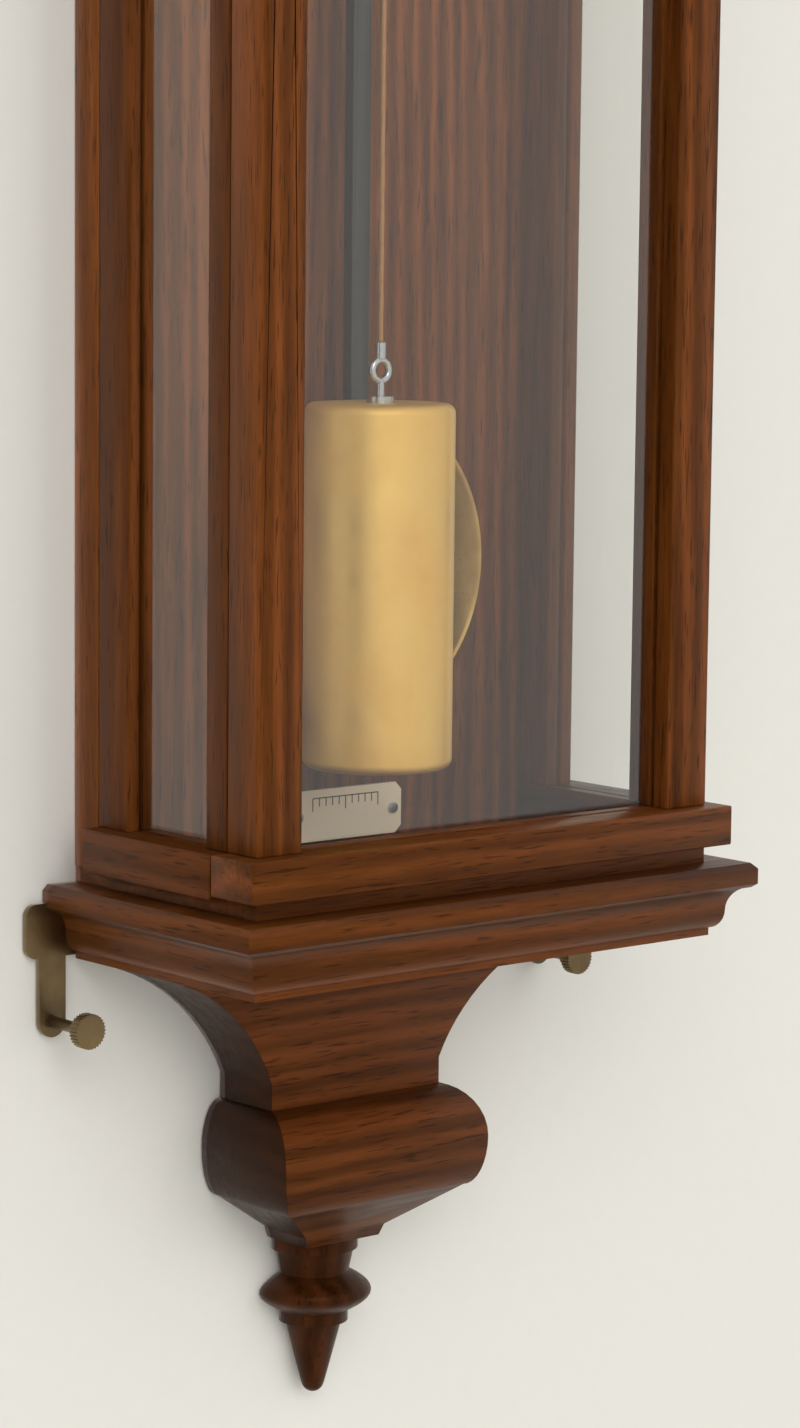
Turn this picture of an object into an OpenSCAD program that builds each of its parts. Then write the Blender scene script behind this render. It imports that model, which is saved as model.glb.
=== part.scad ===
// Miniature weight-driven wall regulator in a glazed wooden case.
// Millimetres. X runs across the case, Y runs into the wall and Z runs up.
// The origin is the centre of the hole in the hanger plate, on the wall plane.
// Heights in the modules are counted from the underside of the case floor board,
// and depths are counted from the wall towards the room.

/* [Case] */
// Height of the case between the outer faces of its floor and roof boards
case_h = 460; // [440:1:520]
// Clear width between the two sides
inner_w = 130; // [128:1:160]
// Thickness of the side frames
side_t = 10; // [8:0.5:14]
// Thickness of the backboard
back_t = 10; // [8:0.5:14]
// Thickness of the floor and roof boards
board_t = 8; // [6:0.5:12]
// Depth of the back stile of each side
back_stile = 12; // [8:0.5:16]
// Depth of the front stile of each side
front_stile = 8; // [7:0.5:14]
// Height of the bottom rails, which form a plinth round the case
plinth_h = 11; // [9:0.5:18]
// How far the plinth stands out from the stiles
plinth_out = 5; // [1:0.5:6]
// Height of the top rails
top_rail_h = 14; // [10:0.5:24]
// Distance from the top of the roof board down to the hanger hole
eye_drop = 30; // [28:1:60]

/* [Glass] */
// Thickness of the panes
glass_t = 2; // [1.5:0.1:3]
// How far a pane runs into its grooves
glass_bite = 2; // [1.5:0.1:3]
// Clearance round a pane in its grooves
glass_gap = 0.15; // [0.05:0.05:0.4]

/* [Door] */
// Thickness of the door frame
door_t = 11.5; // [11:0.5:16]
// Width of the door stiles
door_stile = 14; // [12:0.5:20]
// Gap between the door and the case front
door_gap = 0.3; // [0.2:0.05:0.6]
// Gap above and below the door
door_lift = 0.8; // [0.5:0.1:1.5]
// Radius of the hinge knuckles
knuckle_r = 2; // [1.8:0.1:2.6]
// Radius of the hinge pins
hinge_pin_r = 0.9; // [0.7:0.1:1.1]
// Length of one hinge
hinge_len = 24; // [18:1:36]
// Thickness of the hinge leaves
leaf_t = 0.8; // [0.6:0.1:1.2]
// Width of a hinge leaf on the wood
leaf_w = 8; // [6:0.5:9]
// Distance from the end of the door to the near end of a hinge
hinge_inset = 34; // [20:1:80]
// Height of the lock above the underside of the floor board
lock_h = 252; // [200:1:300]
// Radius of the lock spindle
spindle_r = 2; // [1.6:0.1:2.4]
// Length of the tongue that turns behind the strike plate
tongue_l = 10; // [8:0.5:12]
// Width of the tongue
tongue_w = 2.6; // [2:0.1:3]

/* [Base and corbel] */
// Height of the base moulding
base_h = 19.5; // [16:0.5:30]
// How far the base moulding stands out past the case
base_out = 10; // [6:0.5:12]
// How far the base moulding rises round the floor board
base_rim = 4; // [3.5:0.5:8]
// Width of the corbel at its band
corbel_w = 69; // [56:1:90]
// Depth of the corbel at its band
corbel_d = 35.5; // [24:1:40]
// Width of the corbel where it meets the base
corbel_top = 122; // [90:1:140]
// Depth of the corbel where it meets the base
corbel_lip = 27; // [22:1:60]
// Width of the corbel at its neck
neck_w = 57; // [44:1:80]
// Depth of the corbel at its neck
neck_d = 22; // [12:1:28]
// Height of the corbel from the base moulding to the drop finial
corbel_h = 82.5; // [60:1:90]
// Radius of the bead of the half-turned drop finial
drop_r = 15.5; // [12:0.5:20]
// Distance of the drop finial's axis from the wall
drop_axis = 4.5; // [2:0.5:6]
// Length of the drop finial
drop_h = 43.5; // [32:0.5:54]

/* [Cornice and crest] */
// Height of the cornice
cornice_h = 24; // [18:1:32]
// How far the cornice stands out past the case
cornice_out = 10; // [6:0.5:14]
// How far the cornice reaches down round the roof board
cornice_rim = 6; // [4:0.5:7]
// Height of the crest board at its middle
crest_h = 56; // [44:1:76]
// Thickness of the crest board
crest_t = 9; // [7:0.5:14]
// Height of the middle finial
finial_h = 34; // [24:1:48]
// Radius of the ball of the middle finial
finial_r = 8; // [6:0.5:10]
// Size of the corner finials as a share of the middle finial
corner_share = 0.8; // [0.6:0.05:1]

/* [Hanging and levelling] */
// Radius of the hole in the hanger plate
eye_r = 3.5; // [2.5:0.25:4.5]
// Thickness of the hanger plate
hanger_t = 2; // [1.5:0.25:3]
// Width of the hanger plate
hanger_w = 24; // [20:1:32]
// Height of the hanger plate
hanger_l = 38; // [30:1:40]
// Thread radius of the levelling screws
level_r = 1.5; // [1.2:0.1:2]
// Head radius of the levelling screws
level_head_r = 4.5; // [3.5:0.25:6]
// Distance from the wall to the face of the levelling screw heads
level_len = 18; // [12:1:22]
// Thickness of the levelling brackets
bracket_t = 1.6; // [1.2:0.1:2.4]

/* [Pendulum] */
// Clear height between the floor board and the foot of the pendulum
nut_room = 22; // [16:0.5:40]
// Radius of the bob
bob_r = 41.5; // [32:0.5:44]
// Thickness of the bob at its middle
bob_t = 9; // [8:0.5:12]
// Thickness of the bob at its rim
bob_rim = 5.6; // [5.2:0.1:6.5]
// Width of the wooden rod
rod_w = 6; // [5:0.5:8]
// Thickness of the wooden rod
rod_t = 3.6; // [3:0.1:4]
// Radius of the threaded end of the rod
thread_r = 1.4; // [1:0.1:1.6]
// Radius of the rating nut
nut_r = 5; // [4:0.25:7]
// Gap between the backboard and the bob
bob_gap = 3.5; // [2.5:0.5:6]
// Gap between the bob and the weight
weight_gap = 2; // [1.5:0.5:5]

/* [Beat plate] */
// Width of the beat plate under the bob
beat_w = 38; // [28:1:48]
// Thickness of the block behind the beat plate
beat_block_t = 4; // [3:0.25:5]
// Height of the beat plate
beat_h = 13.5; // [9:0.5:14]

/* [Weight] */
// Radius of the weight
weight_r = 19; // [15:0.5:21]
// Height of the weight
weight_h = 92; // [70:1:110]
// Height of the underside of the weight when the clock has run down
weight_low = 33; // [24:1:60]
// Radius of the gut line
line_r = 0.6; // [0.4:0.05:0.8]
// Radius of the barrel drum
drum_r = 12.5; // [11:0.25:13]

/* [Movement] */
// Distance from the top of the case down to the dial centre
dial_drop = 92; // [88:1:98]
// Width of the movement plates
plate_w = 66; // [64:1:80]
// Thickness of the movement plates
plate_t = 2; // [1.6:0.1:3]
// Gap between the plates
plate_span = 22; // [21:0.5:26]
// Thickness of the movement bracket
iron_t = 3; // [2:0.25:4]
// Height of the movement bracket's cross bar above its arms
iron_h = 10; // [8:0.5:14]
// Length of the crutch
crutch_l = 46; // [40:1:52]
// Radius of the wheel arbors
arbor_r = 1.2; // [1:0.05:1.3]
// Running clearance of every pivot
run_gap = 0.05; // [0.02:0.01:0.1]
// Module of the great wheel and the centre wheel
wheel_mod = 0.5; // [0.48:0.01:0.52]
// Module of the third wheel
third_mod = 0.36; // [0.35:0.005:0.38]
// Module of the motion work
motion_mod = 0.5; // [0.45:0.01:0.55]
// Tip radius of the escape wheel
escape_r = 11.5; // [10.5:0.25:12]

/* [Dial] */
// Radius of the enamel dial
dial_r = 55; // [48:0.5:56]
// Thickness of the dial
dial_t = 1.5; // [1:0.1:2]
// Width of the bezel outside the dial
bezel_w = 4; // [3:0.5:5]
// Gap between the front plate and the dial
dial_gap = 5; // [5:0.25:7]
// Length of the minute hand
minute_len = 47; // [38:0.5:49]
// Length of the hour hand
hour_len = 31; // [26:0.5:36]
// Thickness of the hands
hand_t = 0.7; // [0.5:0.1:1]

/* [Hidden] */
$fn = 64;
cut = 1;

walnut = "#6b3f26";
walnut_dark = "#4b2a1a";
brass_colour = "#c9a052";
steel_colour = "#8b8f94";
blued_steel = "#26304a";
glass_colour = "#dfe9e6";
enamel = "#f2efe6";
gut_colour = "#c79a5a";

// Layers counted from the wall towards the room
pend_d = back_t + bob_gap + bob_t / 2;
weight_d = pend_d + bob_t / 2 + weight_gap + weight_r;
plate_back = pend_d + 8;
plate_in = plate_back + plate_t;
plate_out = plate_in + plate_span;
plate_front = plate_out + plate_t;
dial_back = plate_front + dial_gap;
dial_front = dial_back + dial_t;
carcass_d = max(plate_front + 10, weight_d + weight_r - 0.5);
door_back = carcass_d + door_gap;
door_front = door_back + door_t;
pane_d = door_back + door_t * 0.42;

// Case outlines
eye_h = case_h - eye_drop;
case_w = inner_w + 2 * side_t;
half_w = case_w / 2;
half_in = inner_w / 2;
rail_top = board_t + plinth_h;
head_low = case_h - board_t - top_rail_h;
side_open_back = back_t + back_stile;
side_open_front = carcass_d - front_stile;
side_pane_x = half_in + side_t / 2;
door_low = board_t + door_lift;
door_high = case_h - board_t - door_lift;
door_rail_top = door_low + plinth_h - door_lift;
door_head_low = door_high - top_rail_h + door_lift;
base_low = base_rim - base_h;
corbel_low = base_low - corbel_h;
cornice_low = case_h - cornice_rim;
cornice_high = cornice_low + cornice_h;

// Hinges and lock
hinge_x = half_w + plinth_out + knuckle_r - 0.8;
hinge_d = carcass_d + door_gap / 2;
hinge_z = [door_low + hinge_inset, door_high - hinge_inset - hinge_len];
lock_x = -(half_w - door_stile / 2);
tongue_t = 2;
strike_t = 1.2;
tongue_d = carcass_d - strike_t - 0.8;
lock_room = 0.6;

// Motion of the pendulum, and the wheel train
great_n = 96;
centre_n = 84;
third_n = 80;
leaves = 8;
escape_n = 30;
cannon_n = 12;
minute_n = 36;
hour_leaves = 10;
hour_n = 40;
great_c = wheel_mod * (great_n + leaves) / 2;
centre_c = wheel_mod * (centre_n + leaves) / 2;
third_c = third_mod * (third_n + leaves) / 2;
dial_h = case_h - dial_drop;
escape_h = centre_n * wheel_mod / 2 + wheel_mod + arbor_r + 0.3;
pallet_c = escape_r * 1.41;
susp_h = dial_h + escape_h + pallet_c;
barrel_z = dial_h - great_c;
third_z = (centre_c * centre_c - third_c * third_c + escape_h * escape_h) / (2 * escape_h);
third_x = sqrt(centre_c * centre_c - third_z * third_z);
plate_up = escape_h + pallet_c + 11.5;
plate_down = great_c + great_n * wheel_mod / 2 + 4;
line_gap = 0.05;
line_x = -(drum_r + line_r + line_gap);
hook_h = 15;
line_low = weight_low + weight_h + hook_h;
nut_h = 3.4;
thread_low = board_t + nut_room;
nut_top = thread_low + 7 + nut_h;
bob_h = nut_top + 0.2 + bob_r;
rod_top = susp_h - 22;
rod_low = bob_h - bob_r + 3;
fit = 0.1;
screw_r = 1.3;
screw_head_r = 2.6;
screw_l = 8;
slot_w = 0.6;
pillar_x = plate_w / 2 - 5;
pillar_r = 2.4;
bracket_x = pillar_x - 6;
bracket_w = 9;
bracket_z = dial_h - plate_down + 7;
dial_foot_c = plate_w / 2 - 6;
level_x = half_w + base_out * 0.8;
level_z = base_low - 15.5;
level_w = 8;
ear_in = half_w - 1.5;
ear_out = level_x + level_w;
ear_top = -0.6;
ear_low = base_low + 1;
ear_r = 3;
level_fix_x = half_w + 2.2;
level_fix_z = base_rim - 10;
beat_low = board_t + 2;
beat_t = 1.4;
beat_d = back_t + beat_block_t;
beat_pin_x = beat_w / 2 - 3;
beat_pin_z = beat_low + beat_h / 2;
pin_r = 0.7;
hanger_screw = hanger_l / 2 - 5;

// Places and primitive forms
module slab(x0, x1, d0, d1, z0, z1) {
    translate([x0, -d1, z0 - eye_h])
        cube([x1 - x0, d1 - d0, z1 - z0]);
}

module turned(r, d0, d1, x, z) {
    translate([x, -d0, z - eye_h])
        rotate([90, 0, 0])
            cylinder(r = r, h = d1 - d0);
}

module flat(d0, d1, x = 0, z = 0) {
    translate([x, -d0, z - eye_h])
        rotate([90, 0, 0])
            linear_extrude(d1 - d0)
                children();
}

module upright(r, z0, z1, x, d) {
    translate([x, -d, z0 - eye_h])
        cylinder(r = r, h = z1 - z0);
}

module both() {
    children();
    mirror([1, 0, 0])
        children();
}

// Points of a quarter curve that leaves its start sideways and ends upright
function round_out(a, b, n = 8) = [for (i = [1 : n]) let (t = 90 * i / n)
    [a[0] + (b[0] - a[0]) * sin(t), a[1] + (b[1] - a[1]) * (1 - cos(t))]];

// Points of a quarter curve that leaves its start upright and ends sideways
function round_in(a, b, n = 8) = [for (i = [1 : n]) let (t = 90 * i / n)
    [a[0] + (b[0] - a[0]) * (1 - cos(t)), a[1] + (b[1] - a[1]) * sin(t)]];

// Hollow halfway between a quarter round and a straight slope
function eased_hollow(a, b, n) = [for (i = [0 : n]) let (t = 90 * i / n)
    [a[0] + (b[0] - a[0]) * (sin(t) + i / n) / 2, a[1] + (b[1] - a[1]) * (1 - cos(t) + i / n) / 2]];

// A mitred block whose half width and depth both follow lists of [reach, height]
module moulded(side, front) {
    top = side[0][1];
    low = side[len(side) - 1][1];
    far = max([for (p = front) p[0]]) + cut;
    wide = max([for (p = side) p[0]]) + cut;
    intersection() {
        translate([0, 0, -eye_h])
            rotate([90, 0, 0])
                linear_extrude(far)
                    polygon(concat([for (p = side) p],
                        [for (i = [len(side) - 1 : -1 : 0]) [-side[i][0], side[i][1]]]));
        translate([-wide, 0, -eye_h])
            rotate([90, 0, 90])
                linear_extrude(2 * wide)
                    polygon(concat([for (p = front) [-p[0], p[1]]], [[0, low], [0, top]]));
    }
}

// A wood screw seen from its head, and the hole that takes it
module screw(x, z, d_head, length, dir = 1) {
    face = dir > 0 ? d_head + 0.5 : d_head - 1 - cut;
    turned(screw_r, dir > 0 ? d_head - length : d_head, dir > 0 ? d_head : d_head + length, x, z);
    difference() {
        turned(screw_head_r, dir > 0 ? d_head : d_head - 1, dir > 0 ? d_head + 1 : d_head, x, z);
        translate([x, 0, z - eye_h])
            rotate([0, 35 + 20 * x, 0])
                translate([-x, 0, eye_h - z])
                    slab(x - screw_head_r * 2, x + screw_head_r * 2, face, face + 0.5 + cut,
                        z - slot_w / 2, z + slot_w / 2);
    }
}

module screw_hole(x, z, d0, d1) {
    turned(screw_r + run_gap, d0, d1, x, z);
}

// Outline of a wheel or pinion, with its first tooth at the angle given
function tooth(r_tip, r_root, at, half_tip, half_root) = [
    [r_root * cos(at - half_root), r_root * sin(at - half_root)],
    [r_tip * cos(at - half_tip), r_tip * sin(at - half_tip)],
    [r_tip * cos(at + half_tip), r_tip * sin(at + half_tip)],
    [r_root * cos(at + half_root), r_root * sin(at + half_root)]];

module gear(n, mod, first, tip = 0.6, root = 1.1, share_tip = 0.14, share_root = 0.5) {
    pitch = 360 / n;
    polygon([for (i = [0 : n - 1])
        each tooth(n * mod / 2 + tip * mod, n * mod / 2 - root * mod, first + i * pitch,
            pitch * share_tip / 2, pitch * share_root / 2)]);
}

module pinion(n, mod, first) {
    gear(n, mod, first, 0.5, 0.95, 0.14, 0.42);
}

// The windows between the spokes of a wheel
module windows(r_out, r_in, spokes, spoke_w) {
    difference() {
        circle(r = r_out);
        circle(r = r_in);
        for (i = [0 : spokes - 1])
            rotate(90 + i * 360 / spokes)
                translate([0, -spoke_w / 2])
                    square([r_out + cut, spoke_w]);
    }
}

// Angle of the line from one arbor to another
function bearing(x0, z0, x1, z1) = atan2(z1 - z0, x1 - x0);

// Case woodwork
module backboard() {
    color(walnut)
        difference() {
            slab(-half_w, half_w, 0, back_t, board_t, case_h - board_t);
            slab(-hanger_w / 2 - fit, hanger_w / 2 + fit, -cut, hanger_t,
                eye_h - hanger_l / 2 - fit, eye_h + hanger_l / 2 + fit);
            turned(eye_r + 3, 0, back_t - 2.5, 0, eye_h);
            for (s = [-1, 1])
                screw_hole(0, eye_h + s * hanger_screw, 0, back_t - 0.8);
            both()
                screw_hole(bracket_x, bracket_z + iron_h - 4, back_t - screw_l, back_t + cut);
            both()
                turned(pin_r + run_gap, back_t - 5, back_t + cut, beat_pin_x, beat_pin_z);
        }
}

module side_pane(grow = 0) {
    slab(side_pane_x - glass_t / 2 - grow, side_pane_x + glass_t / 2 + grow,
        side_open_back - glass_bite - grow, side_open_front + glass_bite + grow,
        rail_top - glass_bite - grow, head_low + glass_bite + grow);
}

module side_stiles() {
    difference() {
        union() {
            slab(half_in, half_w, back_t, side_open_back, rail_top, head_low);
            slab(half_in, half_w, side_open_front, carcass_d, rail_top, head_low);
        }
        side_pane(glass_gap);
    }
}

module side_rails() {
    difference() {
        union() {
            slab(half_in, half_w + plinth_out, back_t, carcass_d, board_t, rail_top);
            slab(half_in, half_w, back_t, carcass_d, head_low, case_h - board_t);
        }
        side_pane(glass_gap);
    }
}

module left_stiles() {
    color(walnut)
        difference() {
            mirror([1, 0, 0])
                side_stiles();
            slab(-half_w + 1.4, -half_in + cut, tongue_d - tongue_t - 0.8, carcass_d - strike_t,
                lock_h - tongue_l / 2 - lock_room, lock_h + tongue_l / 2 + lock_room);
            slab(-half_w + 1, -half_in + cut, carcass_d - strike_t, carcass_d + cut,
                lock_h - tongue_l / 2 - 4, lock_h + tongue_l / 2 + 4);
        }
}

module left_rails() {
    color(walnut_dark)
        mirror([1, 0, 0])
            side_rails();
}

module left_glass() {
    color(glass_colour, 0.3)
        mirror([1, 0, 0])
            side_pane();
}

module right_stiles() {
    color(walnut)
        side_stiles();
}

module right_rails() {
    color(walnut_dark)
        side_rails();
}

module right_glass() {
    color(glass_colour, 0.3)
        side_pane();
}

module case_roof() {
    color(walnut)
        slab(-half_w, half_w, 0, door_front, case_h - board_t, case_h);
}

module case_floor() {
    color(walnut)
        slab(-half_w, half_w, 0, door_front, 0, board_t);
}

function base_line(reach) = concat(
    [[reach + base_out - 1.5, base_rim], [reach + base_out, base_rim - 1.5]],
    [[reach + base_out, base_rim - 5.5], [reach + base_out - 1.2, base_rim - 6.5]],
    round_out([reach + base_out - 1.2, base_rim - 6.5],
        [reach + base_out * 0.4, base_rim - base_h * 0.65], 8),
    round_in([reach + base_out * 0.4, base_rim - base_h * 0.65], [reach + 1, base_low + 2], 6),
    [[reach + 1, base_low]]);

module base_moulding() {
    color(walnut)
        difference() {
            moulded(base_line(half_w), base_line(door_front));
            slab(-half_w, half_w, -cut, door_front, 0, base_rim + cut);
            both()
                slab(ear_in - fit, half_w + base_out + cut, -cut, bracket_t,
                    base_low - cut, ear_top + fit);
            both()
                screw_hole(level_fix_x, level_fix_z, -cut, bracket_t + screw_l);
        }
}

// Reach of the corbel at each height: a hollow down to the neck, a round swell, a slope to the foot
function corbel_line(top_reach, neck, swell, foot) =
    let (under = foot + (swell - foot) * 0.78)
    concat(
        [[top_reach + 2, base_low], [top_reach + 2, base_low - corbel_h * 0.05]],
        eased_hollow([top_reach, base_low - corbel_h * 0.06], [neck, base_low - corbel_h * 0.43], 12),
        [[neck, base_low - corbel_h * 0.515]],
        round_out([neck, base_low - corbel_h * 0.515], [swell, base_low - corbel_h * 0.67], 8),
        round_in([swell, base_low - corbel_h * 0.67], [under, base_low - corbel_h * 0.83], 8),
        [[foot + 1, corbel_low + 3]],
        [[foot, corbel_low]]);

module corbel() {
    color(walnut_dark)
        moulded(corbel_line(corbel_top / 2, neck_w / 2, corbel_w / 2, drop_r * 0.8),
            corbel_line(corbel_lip, neck_d, corbel_d, drop_axis + drop_r * 0.8));
}

module drop_finial() {
    bead = drop_h * 0.26;
    color(walnut_dark)
        translate([0, -drop_axis, corbel_low - eye_h])
            intersection() {
                union() {
                    translate([0, 0, -drop_h * 0.08])
                        cylinder(r = drop_r * 0.76, h = drop_h * 0.08);
                    translate([0, 0, -drop_h * 0.24])
                        cylinder(r1 = drop_r * 0.6, r2 = drop_r * 0.7, h = drop_h * 0.17);
                    translate([0, 0, -drop_h * 0.48])
                        rotate_extrude()
                            polygon(concat([[0, 0], [drop_r * 0.5, 0]],
                                [for (i = [0 : 14]) [drop_r * (0.55 + 0.45 * sin(180 * i / 14)),
                                    bead * i / 14]], [[0, bead]]));
                    translate([0, 0, -drop_h * 0.54])
                        cylinder(r = drop_r * 0.6, h = drop_h * 0.07);
                    translate([0, 0, -drop_h * 0.94])
                        cylinder(r1 = drop_r * 0.2, r2 = drop_r * 0.5, h = drop_h * 0.41);
                    translate([0, 0, -drop_h * 0.93])
                        sphere(r = drop_h * 0.07);
                }
                translate([-2 * drop_r, -2 * drop_r, -2 * drop_h])
                    cube([4 * drop_r, 2 * drop_r + drop_axis, 2 * drop_h]);
            }
}

function cornice_line(reach) = concat(
    [[reach + cornice_out, cornice_high], [reach + cornice_out, cornice_high - 4]],
    [[reach + cornice_out - 1.5, cornice_high - 5.5]],
    round_out([reach + cornice_out - 1.5, cornice_high - 5.5],
        [reach + cornice_out * 0.3, cornice_low + 5], 9),
    [[reach + 3, cornice_low + 4], [reach + 3, cornice_low + 1.5], [reach + 1.5, cornice_low]]);

module cornice() {
    color(walnut)
        difference() {
            moulded(cornice_line(half_w), cornice_line(door_front));
            slab(-half_w, half_w, -cut, door_front, cornice_low - cut, case_h);
        }
}

crest_w = case_w * 0.9;
crest_d = door_front - 5;
crest_foot = 8;
crest_spring = crest_h * 0.42;
crest_arch = 0.44;
crest_boss = 11;

// Half of the crest outline: an arch, a step, a hollow sweep and a low end block
function crest_half() =
    let (half = crest_w / 2, step = half * (crest_arch + 0.05), sweep = half * 0.9, drop = crest_spring - 3)
    concat(
        [for (i = [0 : 16]) [half * crest_arch * sin(90 * i / 16),
            crest_spring + (crest_h - crest_spring) * cos(90 * i / 16)]],
        [[step, crest_spring]],
        [for (i = [0 : 12]) [sweep - (sweep - step) * cos(90 * i / 12),
            drop - (drop - crest_foot) * sin(90 * i / 12)]],
        [[half, crest_foot], [half, 0]]);

module crest_shape() {
    half = crest_half();
    polygon(concat(half, [for (i = [len(half) - 1 : -1 : 1]) [-half[i][0], half[i][1]]]));
}

module crest() {
    color(walnut) {
        flat(crest_d - crest_t, crest_d, 0, cornice_high)
            crest_shape();
        flat(crest_d - crest_t / 2 - 4, crest_d - crest_t / 2 + 4, 0, cornice_high)
            translate([-8, crest_h - 10])
                square([16, 10]);
        flat(crest_d, crest_d + 2.5, 0, cornice_high)
            difference() {
                translate([0, crest_spring])
                    circle(r = crest_boss);
                translate([0, crest_spring])
                    circle(r = crest_boss - 3);
            }
        flat(crest_d, crest_d + 2, 0, cornice_high)
            translate([0, crest_spring])
                circle(r = crest_boss - 6);
    }
}

// A turned finial that stands on the height given
module finial(share, x, d, z) {
    h = finial_h * share;
    r = finial_r * share;
    translate([x, -d, z - eye_h]) {
        cylinder(r = r * 0.75, h = h * 0.1);
        translate([0, 0, h * 0.1])
            cylinder(r1 = r * 0.6, r2 = r * 0.38, h = h * 0.12);
        translate([0, 0, h * 0.22])
            cylinder(r = r * 0.7, h = h * 0.05);
        translate([0, 0, h * 0.27])
            rotate_extrude()
                polygon(concat([[0, 0]],
                    [for (i = [0 : 14]) [r * (0.4 + 0.6 * sin(180 * i / 14) - 0.1 * max(0, i - 7) / 7),
                        h * 0.38 * i / 14]], [[0, h * 0.38]]));
        translate([0, 0, h * 0.65])
            cylinder(r = r * 0.5, h = h * 0.05);
        translate([0, 0, h * 0.7])
            cylinder(r1 = r * 0.42, r2 = r * 0.12, h = h * 0.3);
    }
}

module finials() {
    color(walnut_dark) {
        finial(1, 0, crest_d - crest_t / 2, cornice_high + crest_h);
        both()
            finial(corner_share, half_w - 1, door_front - 6, cornice_high);
    }
}

// Small fittings on the case
module beat_block() {
    edge = 0.8;
    color(walnut_dark)
        difference() {
            slab(-beat_w / 2 + edge, beat_w / 2 - edge, back_t, beat_d,
                beat_low + edge, beat_low + beat_h - edge);
            both()
                turned(pin_r + run_gap, back_t - cut, beat_d + cut, beat_pin_x, beat_pin_z);
        }
}

module beat_plate() {
    corner = 2;
    color(enamel)
        difference() {
            flat(beat_d, beat_d + beat_t, 0, beat_low)
                polygon([[-beat_w / 2 + corner, 0], [beat_w / 2 - corner, 0], [beat_w / 2, corner],
                    [beat_w / 2, beat_h - corner], [beat_w / 2 - corner, beat_h],
                    [-beat_w / 2 + corner, beat_h], [-beat_w / 2, beat_h - corner], [-beat_w / 2, corner]]);
            both()
                turned(pin_r + run_gap, beat_d - cut, beat_d + beat_t + cut, beat_pin_x, beat_pin_z);
        }
}

module hanger_plate() {
    color(steel_colour)
        difference() {
            slab(-hanger_w / 2, hanger_w / 2, 0, hanger_t, eye_h - hanger_l / 2, eye_h + hanger_l / 2);
            turned(eye_r, -cut, hanger_t + cut, 0, eye_h);
            for (s = [-1, 1])
                turned(screw_head_r + run_gap, -cut, 1, 0, eye_h + s * hanger_screw);
            for (s = [-1, 1])
                screw_hole(0, eye_h + s * hanger_screw, 0, hanger_t + cut);
        }
}

module case_screws() {
    color(steel_colour) {
        for (s = [-1, 1])
            screw(0, eye_h + s * hanger_screw, 1, screw_l, -1);
        both()
            screw(bracket_x, bracket_z + iron_h - 4, back_t + iron_t, screw_l + 2);
        both()
            screw(level_fix_x, level_fix_z, 1, screw_l, -1);
        both() {
            turned(pin_r, back_t - 5, beat_d + beat_t, beat_pin_x, beat_pin_z);
            turned(pin_r * 2, beat_d + beat_t, beat_d + beat_t + 0.7, beat_pin_x, beat_pin_z);
        }
    }
}

module levelling_brackets() {
    color(brass_colour)
        both()
            difference() {
                union() {
                    slab(ear_in, ear_out - ear_r, 0, bracket_t, ear_low, ear_top);
                    slab(ear_in, ear_out, 0, bracket_t, ear_low + ear_r, ear_top - ear_r);
                    for (z = [ear_low + ear_r, ear_top - ear_r])
                        turned(ear_r, 0, bracket_t, ear_out - ear_r, z);
                    slab(level_x - level_w / 2, level_x + level_w / 2, 0, bracket_t, level_z, ear_low + 1);
                    turned(level_w / 2, 0, bracket_t, level_x, level_z);
                }
                turned(level_r + run_gap, -cut, bracket_t + cut, level_x, level_z);
                turned(screw_head_r + run_gap, -cut, 1, level_fix_x, level_fix_z);
                screw_hole(level_fix_x, level_fix_z, 0, bracket_t + cut);
            }
}

module levelling_screw(x) {
    translate([x, 0, level_z - eye_h])
        rotate([90, 0, 0]) {
            cylinder(r1 = 0.4, r2 = level_r - 0.1, h = 1.2);
            translate([0, 0, 1.2])
                cylinder(r = level_r, h = level_len - 4.2);
            translate([0, 0, level_len - 5.5])
                cylinder(r = level_r + 1.2, h = 2.5);
            translate([0, 0, level_len - 3])
                linear_extrude(3)
                    gear(30, 2 * level_head_r / 31, 0, 0.5, 0.5, 0.4, 0.6);
        }
}

module levelling_screw_left() {
    color(brass_colour)
        levelling_screw(-level_x);
}

module levelling_screw_right() {
    color(brass_colour)
        levelling_screw(level_x);
}

module strike_plate() {
    color(brass_colour)
        difference() {
            slab(-half_w + 1, -half_in, carcass_d - strike_t, carcass_d,
                lock_h - tongue_l / 2 - 4, lock_h + tongue_l / 2 + 4);
            slab(lock_x - spindle_r - lock_room, lock_x + spindle_r + lock_room,
                carcass_d - strike_t - cut, carcass_d + cut,
                lock_h - tongue_l / 2 - lock_room, lock_h + tongue_l / 2 + lock_room);
        }
}

// Case half of each hinge: a leaf on the side, the outer knuckles and the pin
module case_hinges() {
    third = hinge_len / 3;
    color(brass_colour)
        for (z = hinge_z) {
            slab(half_w, half_w + leaf_t, hinge_d - leaf_w - 1, hinge_d - 1, z, z + hinge_len);
            for (k = [0, 2]) {
                slab(half_w, hinge_x, hinge_d - knuckle_r, hinge_d - door_gap,
                    z + k * third, z + (k + 1) * third);
                upright(knuckle_r, z + k * third, z + (k + 1) * third, hinge_x, hinge_d);
            }
            upright(hinge_pin_r, z - 1, z + hinge_len + 1, hinge_x, hinge_d);
        }
}

module door_hinges() {
    third = hinge_len / 3;
    color(brass_colour)
        for (z = hinge_z) {
            slab(half_w, half_w + leaf_t, hinge_d + 1, hinge_d + leaf_w + 1, z, z + hinge_len);
            difference() {
                union() {
                    slab(half_w, hinge_x, hinge_d + door_gap, hinge_d + knuckle_r,
                        z + third + 0.1, z + 2 * third - 0.1);
                    upright(knuckle_r, z + third + 0.1, z + 2 * third - 0.1, hinge_x, hinge_d);
                }
                upright(hinge_pin_r + run_gap, z, z + hinge_len, hinge_x, hinge_d);
            }
        }
}

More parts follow.
